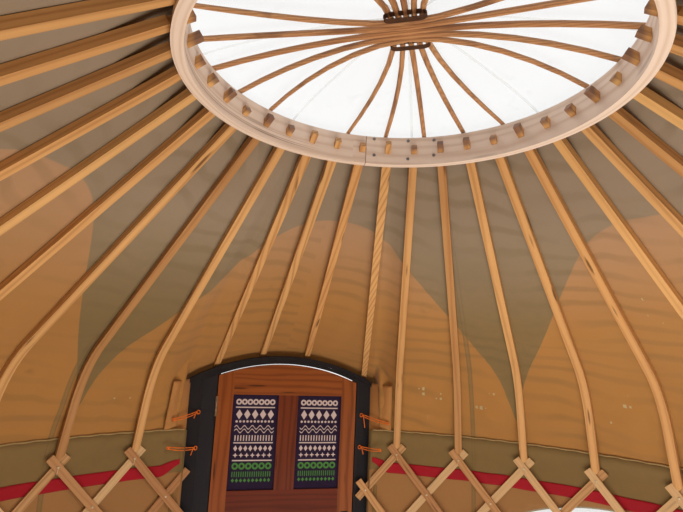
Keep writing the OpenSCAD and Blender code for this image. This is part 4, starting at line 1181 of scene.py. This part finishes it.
hem_cloth = canvas_outside("window_hem_canvas", tone(150, 136, 100), (), wall=True)
parts = []
for a in WINDOW_ANGLES:
    count = len(window_outline())
    inner, outer, faces = [], [], []
    for share in (0.0, 0.5, 1.0):
        ring = window_at(a, -0.008 + 0.030 * share)
        crown = 0.0004 * (1 - (2 * share - 1) ** 2)
        inner += roll(ring, 0.0009, window_radius)
        outer += roll(ring, 0.0019 + crown, window_radius)
    for near, far in ((0, count), (count, 2 * count)):
        faces += [[near + (i + 1) % count, far + (i + 1) % count, far + i, near + i] for i in range(count)]
    parts.append((inner, outer, faces))
hems = two_skins("window_hems", *joined(parts), [hem_cloth])
print("windows:", len(panes.data.polygons), "faces, hems:", len(hems.data.polygons))

# %% [markdown]
# ## The dome
#
# The dome is welded from eight gores of clear sheet with a short skirt that grips outside the
# hoop. It is turned from one line, and small ripples between the welds keep it from looking
# moulded.

# %% Build the dome
DOME_EDGE, DOME_LOW, DOME_HIGH = 0.498, 2.451, 2.519
DOME_R = (DOME_EDGE ** 2 + (DOME_HIGH - DOME_LOW) ** 2) / (2 * (DOME_HIGH - DOME_LOW))
DOME_SIDES, DOME_ROWS = 192, 30
SKIRT_Z = upper_z(DOME_EDGE, ROOF_D + 2 * CANVAS_T + 0.0009) + 0.0016


def dome_points(grow):
    half = math.asin(DOME_EDGE / DOME_R)
    line = [(DOME_R * math.sin(half * t), DOME_HIGH - DOME_R + DOME_R * math.cos(half * t) + grow)
        for t in np.linspace(0.012, 1, DOME_ROWS)]
    line += [(DOME_EDGE + grow, DOME_LOW - (DOME_LOW - SKIRT_Z) * s) for s in np.linspace(0.08, 1, 8)]
    points = []
    for i in range(DOME_SIDES):
        a = math.radians(i * 360 / DOME_SIDES)
        gore = abs(math.sin(a * GORES / 2))
        for k, (r, z) in enumerate(line):
            sag = 0.0011 * gore * math.sin(min(1, r / DOME_EDGE) * 9) if k < DOME_ROWS - 1 else 0.0
            wide = 0.0006 * math.sin(a * 31 + z * 60) if k >= DOME_ROWS else 0.0
            points.append(round_point(i * 360 / DOME_SIDES, r + wide, z + sag))
    return points, len(line)


inside_dome, dome_rows = dome_points(0.0006)
outside_dome, _ = dome_points(0.0014)
dome = two_skins("dome_sheet", inside_dome, outside_dome,
    net(DOME_SIDES, dome_rows, closed=True), [dome_sheet])
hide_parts("crown_dome")


# %% [markdown]
# ## Webbing
#
# A flat woven belt runs round outside the lattice and takes the outward push of the ribs, and
# five short straps hold the star's tips down. Webbing has ribs across its width, drawn in
# the finish, while its slight wave and narrowed ends are in the shape.

# %% Finish and shape of the belt
WALE = 0.0016


def webbing(name, colour):
    finish = Finish(name)
    angle, radius, z = round_room(finish)
    arc = angle * (DEGREE * RIM_R)
    ribs_across = finish.math("SINE", arc * (FULL_TURN / WALE * 0.25))
    rows = finish.math("SINE", z * (FULL_TURN / WALE))
    spot = finish.position()[0]
    cloud = finish.noise(spot, 4.0, 3.0)
    fibre = finish.noise(finish.vector(arc * 60.0, z * 900.0, 0.0), 1.0, 2.0)
    tint = finish.blend(colour, scaled(colour, 0.55), finish.step(cloud, 0.3, 0.8) * 0.5)
    tint = finish.blend(tint, scaled(colour, 1.35, 0.01), fibre * 0.3)
    height = rows * 0.25 + ribs_across * 0.12 + fibre * 0.4
    return finish.surface(tint, 0.62 + fibre * 0.2, finish.bump(height, 0.0007, 0.6))


BELT_R, BELT_Z, BELT_W, BELT_STEPS, BELT_ROWS = 1.8403, 1.097, 0.054, 640, 7
belt_angles = np.linspace(FRAME_A + 0.2, 360 - FRAME_A - 0.2, BELT_STEPS)
belt_in, belt_out = [], []
for a in belt_angles:
    end = min(a - belt_angles[0], belt_angles[-1] - a)
    rise = 0.040 * (1 - ease(end, 0.0, 3.4))
    half = BELT_W / 2 * (0.42 + 0.58 * ease(end, 0.1, 2.6))
    slack = 0.0022 * slow_chance(a * 0.35, 0.5, 8)
    for s in np.linspace(-1, 1, BELT_ROWS):
        wave = 0.0004 + 0.0003 * math.sin(math.radians(a) * 70 + s)
        z = BELT_Z + BELT_W / 2 + s * half + rise + slack
        for points, r in ((belt_in, BELT_R + wave), (belt_out, BELT_R + wave + 0.0011)):
            points.append(round_point(a, r, z))
belt = two_skins("belt_webbing", belt_in, belt_out,
    flipped(net(BELT_STEPS, BELT_ROWS)), [webbing("red_webbing", tone(158, 18, 36))])
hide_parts("tension_belt")

# %% Shape of the straps at the star's tips
strap_finish = webbing("pale_webbing", tone(206, 196, 166))
STRAP_BEND_Z, STRAP_R, STRAP_HALF_W, STRAP_ROWS = 1.262, 1.83, 0.0122, 5
parts = []
for k in range(POINTS):
    middle = HOLLOW_A + (k + 0.5) * STAR_TURN
    top = plain_z(POINT_R, COVER_D)
    path = [(lower_r(z, COVER_D + 0.0016), z) for z in np.linspace(top + 0.055, STRAP_BEND_Z, 18)]
    path += [(1.8496 + 0.0010 * math.sin(s * 3.1), STRAP_BEND_Z - 0.142 * s)
        for s in np.linspace(0.12, 1, 12)]
    inner, outer = [], []
    for r, z in path:
        for s in np.linspace(-1, 1, STRAP_ROWS):
            a = middle + math.degrees(s * STRAP_HALF_W / STRAP_R)
            inner.append(round_point(a, r, z))
            outer.append(round_point(a, r + 0.0012 + 0.0004 * (1 - s * s), z))
    parts.append((inner, outer, net(len(path), STRAP_ROWS)))
straps = two_skins("cover_tip_straps", *joined(parts), [strap_finish])
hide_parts("cover_straps")
print("belt and straps:", len(belt.data.polygons) + len(straps.data.polygons), "faces")

# %% [markdown]
# ## Cords and ropes
#
# A cord is a ring of points swept along a path. Three strands laid round each other leave a
# spiral of dents, so the ring's radius follows a cosine that turns as the cord runs on. Every
# cord here is tied or held fast along its length, so none of them swings.

# %% Sweep a cord along a path
def ring_faces(rings, sides):
    """Faces between rings of points that follow each other, with a lid on both ends."""
    faces = []
    for near in range(0, (rings - 1) * sides, sides):
        far = near + sides
        faces += [(near + k, near + (k + 1) % sides, far + (k + 1) % sides, far + k) for k in range(sides)]
    last = (rings - 1) * sides
    return faces + [tuple(reversed(range(sides))), tuple(range(last, last + sides))]


def tube(path, radius, sides, lay=None):
    """Points and faces of a cord; lay is the length in which its strands turn once."""
    path = np.asarray(path, dtype=float)
    along = np.gradient(path, axis=0)
    along /= np.linalg.norm(along, axis=1)[:, None]
    run = np.concatenate([[0.0], np.cumsum(np.linalg.norm(np.diff(path, axis=0), axis=1))])
    side = np.cross(along[0], (0.0, 0.31, 0.95))
    points = []
    for centre, ahead, far in zip(path, along, run):
        side = side - ahead * side.dot(ahead)
        side /= np.linalg.norm(side)
        up = np.cross(ahead, side)
        for k in range(sides):
            turn = k / sides * FULL_TURN
            spoke = side * math.cos(turn) + up * math.sin(turn)
            dent = abs(math.cos(1.5 * (turn - far / lay * FULL_TURN))) if lay else 1.0
            points.append(centre + spoke * radius * (0.8 + 0.2 * dent))
    return points, ring_faces(len(path), sides)


def turned(centre, axis, profile, sides=12):
    """Points and faces of a small turned shape; profile lists radius and height from its rim in."""
    axis = np.asarray(axis, dtype=float)
    side = np.cross(axis, (0.3, 0.2, 0.93))
    side /= np.linalg.norm(side)
    up = np.cross(axis, side)
    points = []
    for radius, height in profile:
        for k in range(sides):
            turn = k / sides * FULL_TURN
            spoke = side * math.cos(turn) + up * math.sin(turn)
            points.append(centre + axis * height + spoke * radius)
    return points, ring_faces(len(profile), sides)


def one_piece(name, parts, finish, slot, *solids):
    points, faces = [], []
    for more, nets in parts:
        start = len(points)
        points += more
        faces += [tuple(v + start for v in face) for face in nets]
    piece = add_piece(name, points, faces, [finish])
    if solids:
        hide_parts(*solids)
    print(f"{name}: {len(parts)} parts, {len(faces)} faces")


def fibres(name, colour, shade):
    finish = Finish(name)
    spot, x, y, z = finish.position()
    hair = finish.noise(finish.vector(x * 700.0, y * 700.0, z * 900.0), 1.0, 3.0)
    cloud = finish.noise(spot, 34.0, 3.0)
    tint = finish.blend(colour, shade, finish.step(cloud, 0.35, 0.75) * 0.6)
    tint = finish.blend(tint, scaled(colour, 1.4, 0.01), hair * 0.3)
    return finish.surface(tint, 0.7 + hair * 0.2, finish.bump(hair, 0.0005, 0.5))


# %% Rope round the eaves and the rolled hem of the wall
pale_cord = fibres("pale_cord", tone(206, 196, 166), tone(150, 136, 104))
EAVE_R, EAVE_Z, EAVE_ROPE_R, ROPE_LAY = 1.8565, 1.140, 0.005, 0.040
eave_angles = np.linspace(FRONT_A + 1, 359 - FRONT_A, 1900)
eave_path = [round_point(a, EAVE_R, EAVE_Z + 0.001 * math.sin(a * 0.4)) for a in eave_angles]
one_piece("eave_cord", [tube(eave_path, EAVE_ROPE_R, 10, ROPE_LAY)], pale_cord, "cord", "eave_rope")

ROLL_Z, ROLL_R = 1.322, 0.0039
roll_cloth = fibres("hem_canvas", tone(160, 136, 92), tone(122, 100, 62))
roll_at = lower_r(ROLL_Z, WALL_D + 0.004)
roll_path = [round_point(a, roll_at, ROLL_Z + 0.0012 * math.sin(a * 2.3))
    for a in np.linspace(FRAME_A + 0.4, 359.6 - FRAME_A, 900)]
one_piece("wall_hem_roll", [tube(roll_path, ROLL_R, 10)], roll_cloth, "wall_canvas", "wall_hem_rope")

# %% [markdown]
# Where the two bundles of rods cross, five close turns of dark cord bind the broad bundle on
# each side of the crossing. Each turn is an oval round all five rods.

# %% Bind the rods
BIND_OUT, BIND_Z, BIND_WIDE, BIND_HIGH = 0.0525, 2.487, 0.0455, 0.0090
BIND_TURNS, BIND_PITCH, BIND_CORD_R, BIND_LAY = 5, 0.0031, 0.0015, 0.012


def rounded(value, power):
    """A sine or cosine drawn out towards 1 and -1, so that a circle becomes a flat oval."""
    return math.copysign(abs(value) ** power, value)


def binding(place):
    turn = math.radians(ROD_TURN)
    ahead = np.array((math.cos(turn), math.sin(turn), 0.0))
    aside = np.array((-math.sin(turn), math.cos(turn), 0.0))
    path = []
    for s in np.linspace(0, BIND_TURNS, BIND_TURNS * 40 + 1):
        over = rounded(math.cos(s * FULL_TURN), 0.35) * BIND_WIDE
        rise = rounded(math.sin(s * FULL_TURN), 0.75) * BIND_HIGH
        on = place + (s - BIND_TURNS / 2) * BIND_PITCH
        path.append(ahead * on + aside * over + np.array((0, 0, BIND_Z + rise)))
    return tube(path, BIND_CORD_R, 8, BIND_LAY)


dark_cord = fibres("dark_cord", tone(84, 58, 42), tone(52, 36, 28))
one_piece("rod_bindings", [binding(-BIND_OUT), binding(BIND_OUT)], dark_cord, "cord", "rod_lashings")

# %% [markdown]
# Short cords go through the laths wherever two of them cross, and a knot holds each one. At
# the row of crossings that carries the ribs their tails are long enough to be seen. The hoop's
# scarf and joints are held by six round-headed screws.

# %% Knots on the lattice and screws in the hoop
LATH_FACE, LOWEST_KNOT_Z, LATTICE_ROWS, TAIL = 1.8189, 0.04, 12, 0.026
KNOT = [(0.0044, 0.0), (0.0056, 0.0012), (0.0050, 0.0030), (0.0026, 0.0043), (0.0006, 0.0045)]
knots = []
chance = np.random.default_rng(5)
for i in range(2 * HEADS + 1):
    for j in range(LATTICE_ROWS):
        z = HEAD_Z - j * ROW_H
        if (i + j) % 2 == 0 or z < LOWEST_KNOT_Z:
            continue
        angle = WALL_TURN + EDGE_A + i * HALF_STEP
        inwards = round_point(angle, -1.0, 0.0)
        knots.append(turned(round_point(angle, LATH_FACE, z), inwards, KNOT))
        if j == 0:
            sway = chance.uniform(-0.25, 0.25)
            tail = [round_point(angle + sway * s, LATH_FACE - 0.0045 - 0.001 * math.sin(s * 3),
                z - 0.003 - TAIL * s) for s in np.linspace(0, 1, 7)]
            knots.append(tube(tail, 0.0011, 6))
one_piece("lattice_knots", knots, pale_cord, "cord")

SCREW = [(0.0050, 0.0), (0.0050, 0.0007), (0.0042, 0.0017), (0.0026, 0.0024), (0.0018, 0.0024),
    (0.0015, 0.0010), (0.0002, 0.0009)]
SCREWS_AT = [(-8.2, 2.426), (-8.3, 2.373), (-21.3, 2.364), (-21.3, 2.423), (-31.1, 2.422), (-31.1, 2.373)]
screws = [turned(round_point(a, HOOP_R - 0.0002, z), round_point(a, -1.0, 0.0), SCREW, 16)
    for a, z in SCREWS_AT]
one_piece("hoop_screws", screws, metal("screw_zinc", tone(150, 152, 154), 0.38, 0.3), "hinge_metal")

# %% [markdown]
# A strip of canvas laps each post, from the edge of the wall's cloth to the post's side, and
# keeps the wind out. Four short orange ropes hold the canvas to the posts: each has a loop
# nailed to the post, two strands and a knotted end.

# %% Strips of canvas beside the posts
LAP_LOW, LAP_HIGH, POST_Y, BEND_Y = 0.020, 1.566, -1.815, -1.798


def lap(side):
    """Inner points, outer points and faces of a strip; side is 1 or -1."""
    inner, outer, heights = [], [], np.linspace(LAP_LOW, LAP_HIGH, 90)
    for z in heights:
        r = lower_r(z, WALL_D + 0.0042) if z > lower_z(WALL_MID, WALL_D + 0.0035) \
            else WALL_OUT + 0.0004
        last = FRAME_A + 0.9 + 2.1 * ease(z, 1.18, 1.24)
        for points, more in ((inner, 0.0), (outer, 0.0010)):
            x = FRAME_HALF + 0.0004 + more
            held = [round_point(v, r + more, z)[:2] for v in (last, last + 0.3, last + 0.6)]
            span = [(x + (held[0][0] - x) * s, BEND_Y + (held[0][1] - BEND_Y) * s)
                for s in (0.0, 0.2, 0.4, 0.6, 0.8)]
            across = [(x, POST_Y), (x, -1.806)] + span + held
            points.extend((side * u, v, z) for u, v in across)
    faces = net(len(heights), len(across))
    return inner, outer, faces if side > 0 else flipped(faces)


def lap_canvas():
    """Like the wall's cloth up to its hem, and like the roof's above it: darker below and golden above, as
    painted shade and painted light of cloth lit from behind.
    """
    finish = Finish("lap_canvas")
    angle, _, z = round_room(finish)
    spot = finish.position()[0]
    threads = weave(finish, angle * (DEGREE * RIM_R), z)
    cloud = finish.noise(spot, 3.0, 4.0)
    colour = finish.blend(tone(132, 104, 62), tone(178, 126, 72), finish.step(z, 1.312, 1.324))
    colour = finish.blend(colour, tone(112, 84, 50), finish.step(cloud, 0.4, 0.8) * 0.4)
    return finish.surface(colour, 0.85, finish.bump(threads, 0.0008, 0.5), Sheen_Weight=0.05)


flaps = two_skins("door_side_flaps", *joined([lap(1), lap(-1)]), [lap_canvas()])

# %% Orange ropes at the door
TIES = [((0.426, -1.793, 1.399), (0.545, -1.700, 1.376), 0.030),
    ((0.426, -1.793, 1.222), (0.560, -1.711, 1.240), 0.034),
    ((-0.431, -1.793, 1.392), (-0.563, -1.697, 1.364), 0.066),
    ((-0.427, -1.793, 1.223), (-0.530, -1.720, 1.222), 0.036)]


def rope(path, radius):
    return tube(path, radius, 8, 0.018)


def hanging(first, last, sag):
    """A path from first to last that sags in the middle."""
    return [first + (last - first) * s - np.array((0, 0, sag * 4 * s * (1 - s)))
        for s in np.linspace(0, 1, 16)]


def tie(post, canvas, tail):
    """A loop on the post, two strands to the canvas, a knot and a hanging end."""
    post, canvas = np.array(post), np.array(canvas)
    side = math.copysign(1, post[0])
    loop = [post + (side * 0.008 * (1 - math.cos(t)), 0.0015 * math.sin(t * 2), 0.009 * math.sin(t))
        for t in np.linspace(0.2, FULL_TURN - 0.2, 28)]
    knot = [post + (side * (0.016 + 0.004 * math.cos(t)), 0.0035 + 0.0035 * math.sin(t),
        0.002 * math.sin(t * 2)) for t in np.linspace(0, FULL_TURN * 1.4, 30)]
    parts = [rope(loop, 0.0028), rope(knot, 0.0026)]
    for up, sag in ((0.004, 0.003), (-0.004, 0.007)):
        parts.append(rope(hanging(post + (side * 0.014, 0.003, up), canvas + (0, 0, up), sag), 0.0027))
    grip = [canvas + (0.006 * math.cos(t), 0.004 * math.sin(t), 0.006 * math.sin(t * 1.5))
        for t in np.linspace(0, FULL_TURN * 1.3, 30)]
    down = [post + (side * (0.018 + 0.010 * s), 0.006 + 0.002 * s, -tail * s)
        for s in np.linspace(0, 1, 12)]
    return parts + [rope(grip, 0.0028), rope(down, 0.0026)]


orange = fibres("orange_rope", tone(222, 116, 46), tone(170, 74, 24))
ties = [part for place in TIES for part in tie(*place)]
one_piece("door_tie_ropes", ties, orange, "tie_rope", "door_ties")

# %% [markdown]
# ## Light
#
# The room is lit twice. A wide soft lamp low down stands for the light that the ground throws
# back, and one in the crown stands for the sky above the dome. Neither shows itself. Outside,
# an even pale world and a very soft sun are enough.

# %% Place the lamps
def lamp(name, kind, energy, place, aim, **settings):
    data = bpy.data.lights.new(name, kind)
    data.energy = energy
    for key, value in settings.items():
        setattr(data, key, value)
    obj = bpy.data.objects.new(name, data)
    obj.location = place
    obj.rotation_euler = (Vector(aim) - Vector(place)).to_track_quat("-Z", "Y").to_euler()
    bpy.context.scene.collection.objects.link(obj)
    obj.visible_camera = False
    obj.visible_glossy = False


lamp("ground_glow", "AREA", 46, (-0.45, 0.35, 0.25), (0.0, 0.0, 3.0), shape="DISK", size=2.4,
    color=(1.0, 0.94, 0.86))
lamp("crown_light", "AREA", 13, (0.0, 0.0, 2.20), (0.0, -0.2, 0.0), shape="DISK", size=0.5,
    color=(0.93, 0.97, 1.0))
lamp("soft_sun", "SUN", 1.3, (3.0, -4.0, 6.0), (0.0, 0.0, 0.0), angle=math.radians(35))

world = bpy.data.worlds.new("pale_world")
bpy.context.scene.world = world
sky = Finish("pale_world", world)
camera_ray, glossy_ray, through_ray = (sky.node("ShaderNodeLightPath", output=f"Is {kind} Ray")
    for kind in ("Camera", "Glossy", "Transmission"))
seen = sky.math("MAXIMUM", sky.math("MAXIMUM", camera_ray, glossy_ray), through_ray)
plain = sky.node("ShaderNodeBackground", None, {"Color": (0.95, 0.97, 1.0), "Strength": 0.75})
shown = sky.node("ShaderNodeBackground", None, {"Color": (1.0, 1.0, 1.0), "Strength": 1.0})
either = sky.node("ShaderNodeMixShader", None, {0: seen, 1: plain, 2: shown})
sky.node("ShaderNodeOutputWorld", None, {"Surface": either})

# %% [markdown]
# ## The floor
#
# A yurt like this stands on whatever floor is there, so the floor is only a stage: one broad
# pale disc under it.

# %% Lay the floor
FLOOR_R, FLOOR_SIDES = 14, 128
floor_finish = Finish("pale_floor")
spot = floor_finish.position()[0]
grey = floor_finish.noise(spot, 0.8, 3.0)
floor_finish.surface(floor_finish.blend(tone(226, 225, 221), tone(236, 235, 232), grey), 0.85)
ring = [(math.cos(t) * FLOOR_R, math.sin(t) * FLOOR_R, -0.0005)
    for t in np.linspace(0, FULL_TURN, FLOOR_SIDES + 1)[:-1]]
floor_mesh = bpy.data.meshes.new("floor")
floor_mesh.from_pydata(ring, [], [tuple(range(FLOOR_SIDES))])
floor_mesh.materials.append(floor_finish.material)
floor = bpy.data.objects.new("floor", floor_mesh)
bpy.context.scene.collection.objects.link(floor)

# %% [markdown]
# ## Colour view
#
# Colours are shown as they are, with the Standard view transform.

bpy.context.scene.view_settings.view_transform = "Standard"
